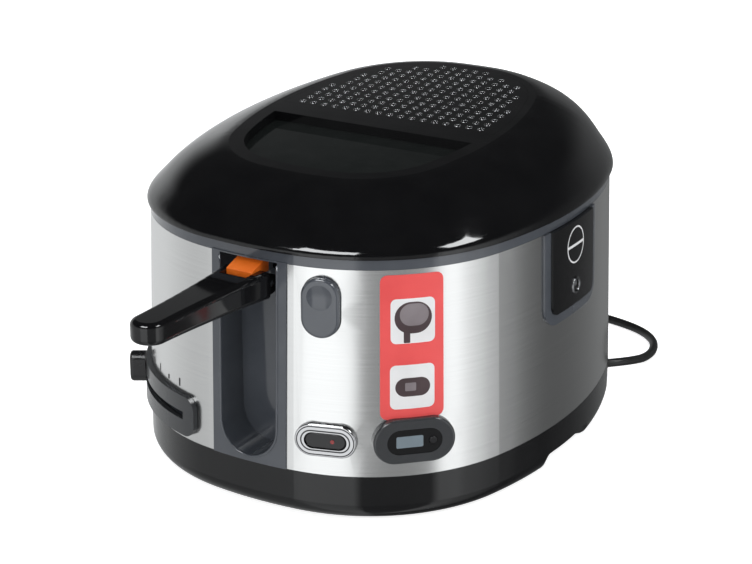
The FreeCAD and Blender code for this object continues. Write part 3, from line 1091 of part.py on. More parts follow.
def make_lead():
    """Strain relief, free run, tied coil and plug of the mains lead."""
    point, out = lead_frame()
    radius = LEAD_DIAMETER / 2.0
    relief = Part.makeCone(RELIEF_ROOT_RADIUS, RELIEF_TIP_RADIUS, RELIEF_LENGTH, point + out * (RELIEF_OUTSIDE - RELIEF_LENGTH), out)
    bore = Part.makeCylinder(radius + PIN_GAP, 2.0 * RELIEF_LENGTH, point - out * 1.5 * RELIEF_LENGTH, out)
    add("strain_relief", relief.cut(bore).Solids[0])
    loops, coil_start = coil_path()
    start = point + out * (RELIEF_OUTSIDE - RELIEF_LENGTH)
    points = [start, point + out * (RELIEF_OUTSIDE + LEAD_STRAIGHT)] + [V(*p) for p in LEAD_ROUTE] + [coil_start + V(PIN_GAP, 0, 0)]
    add("mains_lead", tube(rounded_path(points), radius).Solids[0])
    add("lead_coil", tube(loops, radius).Solids[0])
    print("coil self gap %.2f mm, length %.0f mm" % (least_self_gap(loops, LEAD_DIAMETER), loops.Length))
    last = loops.OrderedEdges[-1]
    end, tangent = last.valueAt(last.LastParameter), last.tangentAt(last.LastParameter)
    tail = [end + tangent * PIN_GAP, end + tangent * TAIL_START] + [V(*p) for p in TAIL_ROUTE]
    add("lead_tail", tube(rounded_path(tail), radius).Solids[0])
    make_plug(V(*TAIL_ROUTE[-1]), V(*TAIL_ROUTE[-1]) - V(*TAIL_ROUTE[-2]))
    add("coil_tie", make_tie())


def make_tie():
    """Flat band round one side of the coil."""
    inner = COIL_OUTER_RADIUS - COIL_PITCH * COIL_HALF_TURNS / 2.0 - LEAD_DIAMETER
    outer = COIL_OUTER_RADIUS + LEAD_DIAMETER
    low, high = -TIE_WALL + FLOOR_LIFT + TIE_WALL, FLOOR_LIFT + LEAD_DIAMETER + COIL_LAYER_RISE + PIN_GAP
    x0, x1 = COIL_CENTRE_X - outer + 2.0, COIL_CENTRE_X - inner + 2.0
    loop = box(x0 - TIE_WALL, x1 + TIE_WALL, COIL_CENTRE_Y - TIE_WIDTH / 2.0, COIL_CENTRE_Y + TIE_WIDTH / 2.0, 0.02, high + TIE_WALL)
    space = box(x0, x1, COIL_CENTRE_Y - TIE_WIDTH, COIL_CENTRE_Y + TIE_WIDTH, low - PIN_GAP, high)
    return loop.cut(space).Solids[0]


def make_plug(end, heading):
    """Round plug with two pins, continuing the lead's end."""
    axis = heading / heading.Length
    axis = V(axis.x, axis.y, 0) / math.hypot(axis.x, axis.y)
    neck = Part.makeCone(LEAD_DIAMETER / 2.0 + 1.0, LEAD_DIAMETER / 2.0 + 3.0, 16.0, end - axis * 4.0, axis)
    body = Part.makeCylinder(PLUG_RADIUS, PLUG_LENGTH - 12.0, end + axis * 12.0, axis)
    ends = [e for e in body.Edges if len(e.Vertexes) == 1]
    plug = body.makeFillet(3.0, ends).fuse(neck)
    for solid in PIECES["lead_tail"]:
        plug = plug.cut(solid.copy())
    add("plug_body", max(plug.removeSplitter().Solids, key=lambda s: s.Volume))
    across = V(-axis.y, axis.x, 0)
    face = end + axis * (PLUG_LENGTH + PIN_GAP)
    pins = []
    for sign in (1, -1):
        pin = Part.makeCylinder(PLUG_PIN_RADIUS, PLUG_PIN_LENGTH, face + across * sign * PLUG_PIN_SPACING / 2.0, axis)
        tip = [e for e in pin.Edges if len(e.Vertexes) == 1 and (e.CenterOfMass - face).dot(axis) > 1.0]
        pins.append(pin.makeFillet(1.2, tip).Solids[0])
    add("plug_pins", *pins)


def export():
    """Writes one file per piece, moved so the footprint's middle is the origin."""
    os.makedirs("parts", exist_ok=True)
    for name, solids in PIECES.items():
        moved = []
        for solid in solids:
            copy = solid.copy()
            copy.translate(ORIGIN_SHIFT)
            moved.append(copy)
        shape = moved[0] if len(moved) == 1 else Part.makeCompound(moved)
        if not shape.isValid():
            print("not valid:", name)
        shape.exportStep("parts/%s.step" % name)


for make in (make_base, make_feet, make_base_screws, make_steel, make_shell, make_side_panels, make_bowl, make_heater, make_basket,
             make_bracket, make_handle, make_lid, make_lid_inside, make_hinge, make_button, make_switch, make_timer, make_slider, make_lead):
    make()
export()
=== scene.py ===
"""Looks of an oval deep fryer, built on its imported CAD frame. Metres, front towards -Y, Z up."""

import json
import math

import bmesh
import bpy
import numpy as np
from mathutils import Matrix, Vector

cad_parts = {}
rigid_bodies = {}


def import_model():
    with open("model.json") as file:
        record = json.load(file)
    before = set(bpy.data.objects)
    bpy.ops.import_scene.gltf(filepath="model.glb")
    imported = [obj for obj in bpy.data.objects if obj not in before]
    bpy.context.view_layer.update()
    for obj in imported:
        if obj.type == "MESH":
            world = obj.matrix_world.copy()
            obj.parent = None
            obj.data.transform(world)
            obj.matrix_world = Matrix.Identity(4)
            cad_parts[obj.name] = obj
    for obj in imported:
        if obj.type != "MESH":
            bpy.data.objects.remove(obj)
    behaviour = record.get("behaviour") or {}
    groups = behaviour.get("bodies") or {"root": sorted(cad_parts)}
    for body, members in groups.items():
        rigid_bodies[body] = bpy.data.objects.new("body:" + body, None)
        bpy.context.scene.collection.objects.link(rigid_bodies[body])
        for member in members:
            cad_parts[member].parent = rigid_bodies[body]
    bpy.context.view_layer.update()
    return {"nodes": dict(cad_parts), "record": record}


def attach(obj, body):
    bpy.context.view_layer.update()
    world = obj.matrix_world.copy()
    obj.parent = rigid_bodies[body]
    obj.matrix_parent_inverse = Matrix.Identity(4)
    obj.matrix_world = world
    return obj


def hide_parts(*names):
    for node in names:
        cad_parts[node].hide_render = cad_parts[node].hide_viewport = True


MM = 0.001
# From the bowl's axis, about which the CAD source is drawn, to the footprint's middle
SHIFT_Y = 47.75 * MM

# Camera, fitted to the wall's outline in the photograph
CAMERA_AZIMUTH = 30.88
CAMERA_ELEVATION = 20.37
CAMERA_DISTANCE = 1.5207
CAMERA_TARGET = (-5.30 * MM, -3.17 * MM + SHIFT_Y, 112.26 * MM)
CAMERA_LENS = 95.15
SENSOR_WIDTH = 36.0

# Points closer than this are one
MERGE = 0.0001 * MM

# The steel wall round its front corners
CORNER_X = 19.80 * MM
CORNER_Y = -52.80 * MM + SHIFT_Y
CORNER_RADIUS = 127.0 * MM
STEEL_TOP = 188.0 * MM
BASE_TOP = 38.0 * MM
FLARE = 4.9 * MM
SIDE_RADIUS = 325.0 * MM

# The front column and the mouth of its handle channel
FRONT_REACH = 181.0 * MM
FRONT_RADIUS = 290.0 * MM
COLUMN_PROUD = 1.2 * MM
CHANNEL_HALF_WIDTH = 23.5 * MM
CHANNEL_BOTTOM = 42.0 * MM
BEAD_TOP = 186.0 * MM
BEAD_RADIUS = 0.9 * MM

# The power switch's surround, a flat oval
SWITCH_ANGLE = 17.5
SWITCH_Z = 64.5 * MM
SWITCH_WIDTH = 44.0 * MM
SWITCH_HEIGHT = 24.0 * MM
SWITCH_FACE = 3.06 * MM
# Insets in millimetres of two dark ovals in the surround: the outer one is painted shade along its
# rounded edge, the inner one a dark groove between its two plated rings
SWITCH_GROOVE_AND_EDGE_SHADE = ((1.3, 2.1), (4.2, 5.2))

# Ticks over the temperature slot, in degrees and millimetres
TICK_ANGLES = (-21.0, -28.0, -35.0, -42.0, -49.0)
TICK_HALF_ANGLE = 0.35
TICK_BOTTOM = 76.0
TICK_SHORT_TOP = 79.5
TICK_LONG_TOP = 82.0
TICK_CORNER = 0.1
TICK_OUT = 0.15

# The right side panel
PANEL_X = 157.25 * MM
PANEL_MIDDLE_Y = 4.0 * MM
SIGN_Z = 170.0 * MM
SIGN_RADIUS = 13.8 * MM
SIGN_LINE = 1.2 * MM
SIGN_BAR = 1.0 * MM
SIGN_OUT = 0.12 * MM
CUP_Z = 139.0 * MM
CUP_RADIUS = 5.4 * MM
CUP_WIRE = 1.1 * MM

# The lid's sloping top with its vent holes
LID_TOP = 242.0 * MM
LID_SLOPE = 0.0726
VENT_FIRST_Y = 8.0 * MM
VENT_PITCH_X = 9.6 * MM
VENT_PITCH_Y = 10.6 * MM
VENT_ROWS = 14
VENT_COLUMNS = 9
VENT_HOLE_RADIUS = 1.6 * MM
VENT_HOLE_CORNERS = 8
VENT_LIP = 0.6 * MM

# The basket under the lid
BASKET_RADIUS = 107.4 * MM
BASKET_FLOOR_RADIUS = 97.0 * MM
BASKET_RIM_Z = 164.0 * MM
BASKET_FLOOR_Z = 86.8 * MM
BASKET_RIM_WIRE = 2.0 * MM
BASKET_WIRE = 0.7 * MM
BASKET_STAVES = 72
BASKET_HOOPS = 9
BASKET_BARS = 17
HOOP_STEPS = 96

# The mains lead's route, in millimetres from the bowl's axis, as in the CAD source
LEAD_DIAMETER = 7.0 * MM
LEAD_ANGLE = 134.0
LEAD_CORNER = (9.0, 60.9)
LEAD_WALL_RADIUS = 139.9
LEAD_HEIGHT = 11.0
RELIEF_OUTSIDE = 8.0
LEAD_STRAIGHT = 9.0
LEAD_ROUTE = (
    (127.8, 187.5, 7.6),
    (132.0, 205.5, 4.6),
    (130.5, 227.0, 3.6),
    (121.5, 247.0, 3.6),
    (104.5, 262.0, 3.6),
    (81.0, 270.5, 3.6),
    (53.0, 275.5, 3.6),
    (24.0, 283.0, 3.6),
    (-4.0, 298.0, 3.6),
    (-30.0, 311.0, 3.6),
)
COIL_CENTRE = (-55.0, 268.0)
COIL_OUTER_RADIUS = 43.0
COIL_PITCH = 7.8
COIL_RISE = 7.6
COIL_HALF_TURNS = 3
COIL_STEPS = 8
TAIL_START = 20.0
TAIL_ROUTE = ((-12.0, 221.0, 11.0), (6.0, 224.5, 12.6), (22.0, 228.0, 14.3))

# What glossy pieces see round the studio: turn from straight ahead towards the right, and brightness
STUDIO = (
    (-180, 0.20), (-156, 0.16), (-143, 0.74), (-95, 0.82), (-60, 0.62), (-22, 0.80),
    (-14, 1.48), (20, 1.48), (25, 0.34), (50, 0.30), (70, 0.34), (76, 1.48), (88, 1.48),
    (95, 1.05), (104, 0.86), (118, 0.50), (130, 0.14), (140, 0.07), (155, 0.10), (180, 0.20),
)
STUDIO_PEAK = 1.48
STUDIO_CEILING = 0.03
EVEN_LIGHT = 0.55
FLOOR_GLOW = 0.8
# Softboxes above that band: turn, half width, height and half height in degrees, and brightness
SOFTBOXES = ((-5.0, 25.0, 50.0, 8.0, 16.0), (103.0, 15.0, 46.0, 6.0, 16.0))


class Finish:
    """A material, with short calls that add and link its shader nodes."""

    def __init__(self, name):
        self.material = bpy.data.materials.new(name)
        self.material.use_nodes = True
        self.tree = self.material.node_tree
        self.shader = next(n for n in self.tree.nodes if n.type == "BSDF_PRINCIPLED")

    def add(self, kind, **values):
        node = self.tree.nodes.new(kind)
        for key, value in values.items():
            if key in node.inputs:
                node.inputs[key].default_value = value
            else:
                setattr(node, key, value)
        return node

    def link(self, a, out, b, into):
        self.tree.links.new(a.outputs[out], b.inputs[into])

    def set(self, **values):
        for key, value in values.items():
            self.shader.inputs[key.replace("_", " ")].default_value = value

    def noise(self, stretch, size, detail=3.0):
        """Noise on the piece's own coordinates, stretched along its axes."""
        place = self.add("ShaderNodeTexCoord")
        mapping = self.add("ShaderNodeMapping")
        mapping.inputs["Scale"].default_value = stretch
        self.link(place, "Object", mapping, "Vector")
        noise = self.add("ShaderNodeTexNoise", Scale=size, Detail=detail)
        self.link(mapping, "Vector", noise, "Vector")
        return noise

    def spread(self, source, low, high, into):
        """Maps a noise onto a range of one of the shader's values."""
        ranged = self.add("ShaderNodeMapRange")
        for key, value in (("From Min", 0.3), ("From Max", 0.7), ("To Min", low), ("To Max", high)):
            ranged.inputs[key].default_value = value
        self.link(source, "Fac", ranged, "Value")
        self.link(ranged, "Result", self.shader, into)

    def tint(self, source, low, high):
        """Colours the surface between two tones by a noise."""
        ramp = self.add("ShaderNodeValToRGB")
        for stop, tone, position in zip(ramp.color_ramp.elements, (low, high), (0.3, 0.7)):
            stop.color = (*tone, 1.0)
            stop.position = position
        self.link(source, "Fac", ramp, "Fac")
        self.link(ramp, "Color", self.shader, "Base Color")

    def bump(self, source, strength, distance):
        bump = self.add("ShaderNodeBump", Strength=strength, Distance=distance)
        self.link(source, "Fac", bump, "Height")
        self.link(bump, "Normal", self.shader, "Normal")


def moulded(name, low, high, rough, grain, depth, coat=0.0):
    """Moulded plastic: two close tones, uneven gloss and a fine grain."""
    f = Finish(name)
    tone = f.noise((1, 1, 1), 40.0)
    f.tint(tone, low, high)
    f.spread(tone, rough[0], rough[1], "Roughness")
    f.bump(f.noise((1, 1, 1), grain, 2.0), depth, 0.0002)
    f.set(Coat_Weight=coat, Coat_Roughness=0.04)
    return f.material


def brushed(name, low, high, rough, lines):
    """Steel brushed level round the body: long thin lines in tone and gloss."""
    f = Finish(name)
    fine = f.noise((8.0, 8.0, lines), 1.0, 4.0)
    f.tint(fine, low, high)
    f.spread(fine, rough[0], rough[1], "Roughness")
    f.bump(fine, 0.015, 0.0001)
    f.set(Metallic=1.0, Anisotropic=0.5)
    return f.material


def plated(name, tone, rough):
    """Plated metal with faint handling marks."""
    f = Finish(name)
    marks = f.noise((1, 1, 1), 120.0)
    f.tint(marks, [0.94 * c for c in tone], tone)
    f.spread(marks, rough[0], rough[1], "Roughness")
    f.set(Metallic=1.0)
    return f.material


def smoked_pane():
    """Dark tinted window pane, partly see-through."""
    f = Finish("smoked_pane")
    marks = f.noise((1, 1, 1), 60.0)
    f.tint(marks, (0.018, 0.022, 0.021), (0.024, 0.028, 0.027))
    f.spread(marks, 0.03, 0.07, "Roughness")
    f.set(Transmission_Weight=0.6, IOR=1.45)
    return f.material


def finishes():
    """One finish for each of the part's material slots."""
    return {
        "black_plastic": moulded(
            "black_gloss", (0.0040, 0.0040, 0.0045), (0.0055, 0.0055, 0.0060),
            (0.05, 0.09), 900.0, 0.015,
        ),
        "slate_plastic": moulded(
            "slate_satin", (0.062, 0.069, 0.081), (0.074, 0.081, 0.094),
            (0.12, 0.17), 2200.0, 0.02, 0.5,
        ),
        "steel": brushed(
            "brushed_steel", (0.68, 0.68, 0.675), (0.73, 0.73, 0.725),
            (0.17, 0.21), 2600.0,
        ),
        "bright_steel": plated("plated_steel", (0.56, 0.56, 0.57), (0.06, 0.12)),
        "orange_plastic": moulded(
            "orange_catch", (0.75, 0.13, 0.010), (0.85, 0.18, 0.018),
            (0.28, 0.36), 1500.0, 0.06,
        ),
        "grey_plastic": moulded(
            "mid_grey", (0.036, 0.038, 0.041), (0.046, 0.048, 0.051),
            (0.16, 0.22), 2000.0, 0.03,
        ),
        "dark_plastic": moulded(
            "near_black", (0.010, 0.010, 0.011), (0.014, 0.014, 0.015),
            (0.26, 0.36), 1800.0, 0.08,
        ),
        "rubber": moulded(
            "soft_rubber", (0.008, 0.008, 0.008), (0.014, 0.014, 0.014),
            (0.55, 0.7), 1200.0, 0.2,
        ),
        "cord": moulded(
            "lead_sheath", (0.008, 0.008, 0.008), (0.012, 0.012, 0.012),
            (0.38, 0.5), 1500.0, 0.08,
        ),
        "aluminium": plated("cast_plate", (0.60, 0.60, 0.61), (0.35, 0.5)),
        "felt": moulded(
            "filter_felt", (0.02, 0.02, 0.02), (0.05, 0.05, 0.05),
            (0.85, 0.95), 3000.0, 0.8,
        ),
        "lamp": moulded(
            "red_lens", (0.20, 0.006, 0.006), (0.26, 0.009, 0.008),
            (0.08, 0.14), 500.0, 0.02, 0.4,
        ),
        "display": moulded(
            "pale_display", (0.17, 0.21, 0.24), (0.20, 0.25, 0.28),
            (0.12, 0.18), 300.0, 0.01,
        ),
        "glass": smoked_pane(),
    }


def dress(frame, made):
    """Gives every CAD node the finish of its slot."""
    for part in frame["record"]["subparts"]:
        node = frame["nodes"][part["node"]]
        node.data.materials.clear()
        node.data.materials.append(made[part["material_slot"]])


def sheet_mesh(name, points, wrap_rows=False, wrap_columns=False):
    """Mesh over grids of points: an array of (pieces, rows, columns, 3).

    Corner (i, j) of a piece joins (i+1, j), (i+1, j+1) and (i, j+1); a wrapped direction
    joins its last line to its first.
    """
    points = np.asarray(points, dtype=np.float64)
    if points.ndim == 3:
        points = points[None]
    count, rows, columns, _ = points.shape
    index = np.arange(count * rows * columns).reshape(count, rows, columns)
    if wrap_rows:
        index = np.concatenate([index, index[:, :1]], axis=1)
    if wrap_columns:
        index = np.concatenate([index, index[:, :, :1]], axis=2)
    near, far = index[:, :-1], index[:, 1:]
    quads = np.stack([near[..., :-1], near[..., 1:], far[..., 1:], far[..., :-1]], axis=-1)
    mesh = bpy.data.meshes.new(name)
    mesh.from_pydata(points.reshape(-1, 3).tolist(), [], quads.reshape(-1, 4).tolist())
    mesh.polygons.foreach_set("use_smooth", np.ones(len(mesh.polygons), dtype=bool))
    mesh.update()
    obj = bpy.data.objects.new(name, mesh)
    bpy.context.scene.collection.objects.link(obj)
    return obj


def wires(name, paths, radius, sides, closed, guide=None):
    """Round wires: a circle of the radius carried along each path of (paths, steps, 3).

    At each step the circle stands square to the path's direction, on two axes made from that
    direction and the upright, or the X axis where the wire itself stands nearly upright, or one
    given guide for the whole wire. An open wire has a circle of no radius at each end, merged
    into one point that closes it.
    """
    paths = np.asarray(paths, dtype=np.float64)
    ahead = np.roll(paths, -1, axis=1) - np.roll(paths, 1, axis=1)
    if not closed:
        ahead[:, 0] = paths[:, 1] - paths[:, 0]
        ahead[:, -1] = paths[:, -1] - paths[:, -2]
    ahead /= np.linalg.norm(ahead, axis=-1, keepdims=True)
    if guide is None:
        upright = np.abs(ahead[..., 2:]) > 0.8
        guide = np.where(upright, (1.0, 0.0, 0.0), (0.0, 0.0, 1.0))
    across = np.cross(ahead, guide)
    across /= np.linalg.norm(across, axis=-1, keepdims=True)
    rise = np.cross(ahead, across)
    turn = np.linspace(0.0, 2.0 * np.pi, sides, endpoint=False)[:, None]
    ring = np.cos(turn) * across[:, :, None] + np.sin(turn) * rise[:, :, None]
    points = paths[:, :, None] + radius * ring
    if closed:
        return sheet_mesh(name, points, True, True)
    ends = np.repeat(paths[:, [0, -1], None], sides, axis=2)
    obj = sheet_mesh(name, np.concatenate([ends[:, :1], points, ends[:, 1:]], axis=1), False, True)
    whole = bmesh.new()
    whole.from_mesh(obj.data)
    bmesh.ops.remove_doubles(whole, verts=whole.verts, dist=MERGE)
    whole.to_mesh(obj.data)
    whole.free()
    return obj


def put(obj, material, body):
    obj.data.materials.append(material)
    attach(obj, body)
    return obj


def on_wall(angle, z, out, side=1):
    """Points of the steel wall round a front corner: the corner's centre, plus its radius, the
    wall's flare at that height and a step out, along the angle from straight ahead."""
    reach = CORNER_RADIUS + FLARE * (STEEL_TOP - z) / (STEEL_TOP - BASE_TOP) + out
    x = side * CORNER_X + reach * np.sin(angle)
    return np.stack([x, CORNER_Y - reach * np.cos(angle), z], axis=-1)


def wall_patch(name, angles, heights, radius, out, side=1, rows=24, columns=24):
    """Thin rounded rectangle laid on the wall, as a grid of v up and u across, both from -1 to 1.

    Where v is within the corner radius r of an end, at depth d into the corner, the row's half
    width is w - r + sqrt(r^2 - d^2); u spans that half width. Rows lie closer near the ends.
    """
    low, high = np.array(heights) * MM
    middle = math.radians(sum(angles) / 2.0)
    reach = CORNER_RADIUS + FLARE / 2.0
    w = math.radians(angles[1] - angles[0]) * reach / 2.0
    h = (high - low) / 2.0
    r = min(radius * MM, w, h)
    v = -np.cos(np.linspace(0.0, np.pi, rows + 1))
    d = np.maximum(0.0, np.abs(v) * h - (h - r))
    half = w - r + np.sqrt(np.maximum(0.0, r * r - d * d))
    u = np.linspace(-1.0, 1.0, columns + 1)
    angle = middle + np.outer(half, u) / reach
    z = np.repeat(((low + high) / 2.0 + v * h)[:, None], columns + 1, axis=1)
    return sheet_mesh(name, on_wall(angle, z, out * MM, side))


def red_label():
    """Red label with a plain bowl and a plain timer in two pale fields."""
    red = moulded("label_red", (0.78, 0.080, 0.078), (0.84, 0.095, 0.092), (0.30, 0.38), 400.0, 0.02)
    white = moulded("label_white", (0.76, 0.76, 0.76), (0.82, 0.82, 0.82), (0.32, 0.40), 400.0, 0.02)
    ink = moulded("label_ink", (0.055, 0.035, 0.038), (0.075, 0.048, 0.052), (0.34, 0.42), 400.0, 0.02)
    pale = moulded("label_pale", (0.20, 0.17, 0.18), (0.25, 0.22, 0.23), (0.34, 0.42), 400.0, 0.02)
    for name, angles, heights, radius, out, finish, slot in (
        ("label_base", (33.8, 53.6), (80.5, 184.5), 5.0, 0.15, red, "orange_plastic"),
        ("label_upper_field", (37.0, 50.8), (135.5, 167.5), 4.0, 0.22, white, "display"),
        ("label_lower_field", (36.8, 50.6), (88.0, 120.0), 4.0, 0.22, white, "display"),
        ("label_bowl", (38.2, 49.8), (142.5, 165.0), 20.0, 0.28, ink, "dark_plastic"),
        ("label_bowl_grip", (41.0, 43.0), (135.9, 145.0), 0.6, 0.28, ink, "dark_plastic"),
        ("label_bowl_inside", (39.8, 48.8), (148.0, 163.8), 20.0, 0.34, pale, "grey_plastic"),
        ("label_timer", (38.4, 49.2), (97.0, 110.5), 20.0, 0.28, ink, "dark_plastic"),
        ("label_timer_display", (41.4, 44.8), (101.0, 107.0), 0.8, 0.34, pale, "grey_plastic"),
    ):
        put(wall_patch(name, angles, heights, radius, out), finish, "housing")


def slider_ticks(finish):
    """Plain ticks over the temperature slot, in place of figures."""
    for index, angle in enumerate(TICK_ANGLES):
        top = TICK_SHORT_TOP if index % 2 else TICK_LONG_TOP
        sides = (angle - TICK_HALF_ANGLE, angle + TICK_HALF_ANGLE)
        heights = (TICK_BOTTOM, top)
        tick = wall_patch("slider_tick_%d" % index, sides, heights, TICK_CORNER, TICK_OUT, -1, 4, 2)
        put(tick, finish, "housing")


def on_panel(along, z):
    """Points just off the side panel: its X at the middle, plus the wall's flare at that height,
    less the side arc's sag y^2 / 2R."""
    flare = FLARE * (STEEL_TOP - z) / (STEEL_TOP - BASE_TOP)
    y = PANEL_MIDDLE_Y + along
    x = PANEL_X + flare - y * y / (2.0 * SIDE_RADIUS) + SIGN_OUT
    return np.stack([x, y + SHIFT_Y, z], axis=-1)


def panel_sign():
    """White ring with one bar: the ring is a circle at two radii, the bar a strip across it."""
    white = moulded("sign_white", (0.76, 0.76, 0.76), (0.82, 0.82, 0.82), (0.35, 0.45), 400.0, 0.02)
    turn = np.linspace(0.0, 2.0 * np.pi, 72, endpoint=False)[:, None]
    radius = np.array([SIGN_RADIUS - SIGN_LINE, SIGN_RADIUS])[None]
    ring = sheet_mesh("sign_ring", on_panel(radius * np.cos(turn), SIGN_Z + radius * np.sin(turn)), True)
    put(ring, white, "housing")
    reach = SIGN_RADIUS - SIGN_LINE
    along, up = np.meshgrid(np.linspace(-1.0, 1.0, 9) * reach, np.array([-1.0, 1.0]) * SIGN_BAR)
    put(sheet_mesh("sign_bar", on_panel(along, SIGN_Z + up)), white, "housing")


def channel_bead(finish):
    """Rounded edge of the handle channel, as a wire: down one side, round a half circle at the
    foot and up the other side, on the column's face.

    The face stands at the front's reach plus the flare at that height and the column's own
    thickness, less the front arc's sag x^2 / 2R.
    """
    middle = CHANNEL_BOTTOM + CHANNEL_HALF_WIDTH
    turn = np.linspace(-np.pi, 0.0, 32)
    rise = np.linspace(BEAD_TOP, middle, 12)[:-1]
    side = np.full_like(rise, CHANNEL_HALF_WIDTH)
    x = np.concatenate([-side, CHANNEL_HALF_WIDTH * np.cos(turn), side])
    z = np.concatenate([rise, middle + CHANNEL_HALF_WIDTH * np.sin(turn), rise[::-1]])
    flare = FLARE * (STEEL_TOP - z) / (STEEL_TOP - BASE_TOP)
    y = SHIFT_Y - FRONT_REACH - flare - COLUMN_PROUD + x * x / (2.0 * FRONT_RADIUS)
    path = np.stack([x, y, z], axis=-1)
    bead = wires("channel_bead", path[None], BEAD_RADIUS, 10, False, np.array((0.0, 1.0, 0.0)))
    put(bead, finish, "housing")


def switch_groove_and_edge_shade(finish):
    """Painted shade and a dark groove in the switch's surround: ovals at two insets from its edge.

    An oval of inset i has half circles of radius h/2 - i about two middles (w - h)/2 to each
    side, and straight lines between them; it lies square to the wall's angle at the switch.
    """
    half = np.linspace(-np.pi / 2.0, np.pi / 2.0, 20)
    turn = np.concatenate([half, half + np.pi])[:, None]
    shift = np.repeat([1.0, -1.0], len(half))[:, None] * (SWITCH_WIDTH - SWITCH_HEIGHT) / 2.0
    angle = math.radians(SWITCH_ANGLE)
    middle = on_wall(np.array(angle), np.array(SWITCH_Z), SWITCH_FACE)
    across = np.array((math.cos(angle), math.sin(angle), 0.0))
    up = np.array((0.0, 0.0, 1.0))
    # The outer oval is painted shade along the surround's rounded edge; the inner one is a dark groove.
    for index, insets in enumerate(SWITCH_GROOVE_AND_EDGE_SHADE):
        radius = SWITCH_HEIGHT / 2.0 - np.array(insets[::-1]) * MM
        side = (shift + radius * np.cos(turn))[..., None]
        rise = (radius * np.sin(turn))[..., None]
        groove = sheet_mesh("switch_groove_%d" % index, middle + side * across + rise * up, True)
        put(groove, finish, "housing")


def screw_cup(finish):
    """Round lip about the panel's screw: a circle in the panel's face, as a wire."""
    turn = np.linspace(0.0, 2.0 * np.pi, 32, endpoint=False)
    path = on_panel(CUP_RADIUS * np.cos(turn), CUP_Z + CUP_RADIUS * np.sin(turn))
    put(wires("screw_cup", path[None], CUP_WIRE, 10, True), finish, "housing")


def level_circles(radii, heights, steps):
    """Circles about the bowl's axis, one for each radius and height."""
    turn = np.linspace(0.0, 2.0 * np.pi, steps, endpoint=False)
    x = np.outer(radii, np.cos(turn))
    y = np.outer(radii, np.sin(turn)) + SHIFT_Y
    return np.stack([x, y, np.repeat(np.asarray(heights)[:, None], steps, axis=1)], axis=-1)


def wire_basket(finish):
    """Woven basket: staves up the cone, level hoops, a grid of bars in the floor and a thick rim.

    A point at share t up the cone has radius f + t (r - f) and height z0 + t (z1 - z0); a floor
    bar at a from the middle is a chord of half length sqrt(f^2 - a^2).
    """
    rim_circle = level_circles([BASKET_RADIUS], [BASKET_RIM_Z], HOOP_STEPS)
    rim = wires("basket_rim", rim_circle, BASKET_RIM_WIRE, 10, True)
    turn = np.linspace(0.0, 2.0 * np.pi, BASKET_STAVES, endpoint=False)[:, None]
    radius = np.array([BASKET_FLOOR_RADIUS, BASKET_RADIUS])[None]
    heights = np.repeat([[BASKET_FLOOR_Z, BASKET_RIM_Z]], BASKET_STAVES, axis=0)
    staves = np.stack([radius * np.cos(turn), radius * np.sin(turn) + SHIFT_Y, heights], axis=-1)
    t = np.arange(BASKET_HOOPS) / BASKET_HOOPS
    hoops = level_circles(BASKET_FLOOR_RADIUS + t * (BASKET_RADIUS - BASKET_FLOOR_RADIUS),
                          BASKET_FLOOR_Z + t * (BASKET_RIM_Z - BASKET_FLOOR_Z), HOOP_STEPS)
    a = BASKET_FLOOR_RADIUS * np.linspace(-1.0, 1.0, BASKET_BARS + 2)[1:-1]
    b = np.sqrt(BASKET_FLOOR_RADIUS ** 2 - a * a)
    ends = np.stack([-b, b], axis=1)
    beside = np.repeat(a[:, None], 2, axis=1)
    floor = np.full_like(ends, BASKET_FLOOR_Z)
    bars = np.concatenate([np.stack([beside, ends + SHIFT_Y, floor], axis=-1),
                           np.stack([ends, beside + SHIFT_Y, floor], axis=-1)])
    pieces = (
        rim,
        wires("basket_staves", staves, BASKET_WIRE, 6, False),
        wires("basket_hoops", hoops, BASKET_WIRE, 6, True),
        wires("basket_bars", bars, BASKET_WIRE, 6, False),
    )
    for piece in pieces:
        put(piece, finish, "housing")
        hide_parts("basket_mesh")


def vent_lips(frame, finish):
    """Small rounded lip round each hole of the grille, a ring in the lid's sloping plane.

    A spot of the hole grid has a hole where enough of the grille's vertices lie round it, once
    they are turned level about the line where the slope meets the lid's top height.
    """
    angle = math.atan(LID_SLOPE)
    c, s = math.cos(angle), math.sin(angle)
    grille = frame["nodes"]["vent_grille"].data
    co = np.empty(3 * len(grille.vertices))
    grille.vertices.foreach_get("co", co)
    co = co.reshape(-1, 3)
    level_y = (co[:, 1] - SHIFT_Y) * c + (co[:, 2] - LID_TOP) * s
    x, y = np.meshgrid(np.arange(-VENT_COLUMNS, VENT_COLUMNS + 1) * VENT_PITCH_X,
                       VENT_FIRST_Y + np.arange(VENT_ROWS) * VENT_PITCH_Y)
    x, y = x.ravel(), y.ravel()
    away = np.hypot(co[None, :, 0] - x[:, None], level_y[None] - y[:, None])
    holes = (away < 1.2 * VENT_HOLE_RADIUS).sum(axis=1) >= VENT_HOLE_CORNERS
    turn = np.linspace(0.0, 2.0 * np.pi, 10, endpoint=False)
    lip = VENT_HOLE_RADIUS + VENT_LIP
    px = x[holes, None] + lip * np.cos(turn)
    py = y[holes, None] + lip * np.sin(turn)
    rings = np.stack([px, SHIFT_Y + py * c, LID_TOP + py * s], axis=-1)
    put(wires("vent_lips", rings, VENT_LIP, 5, True), finish, "lid")


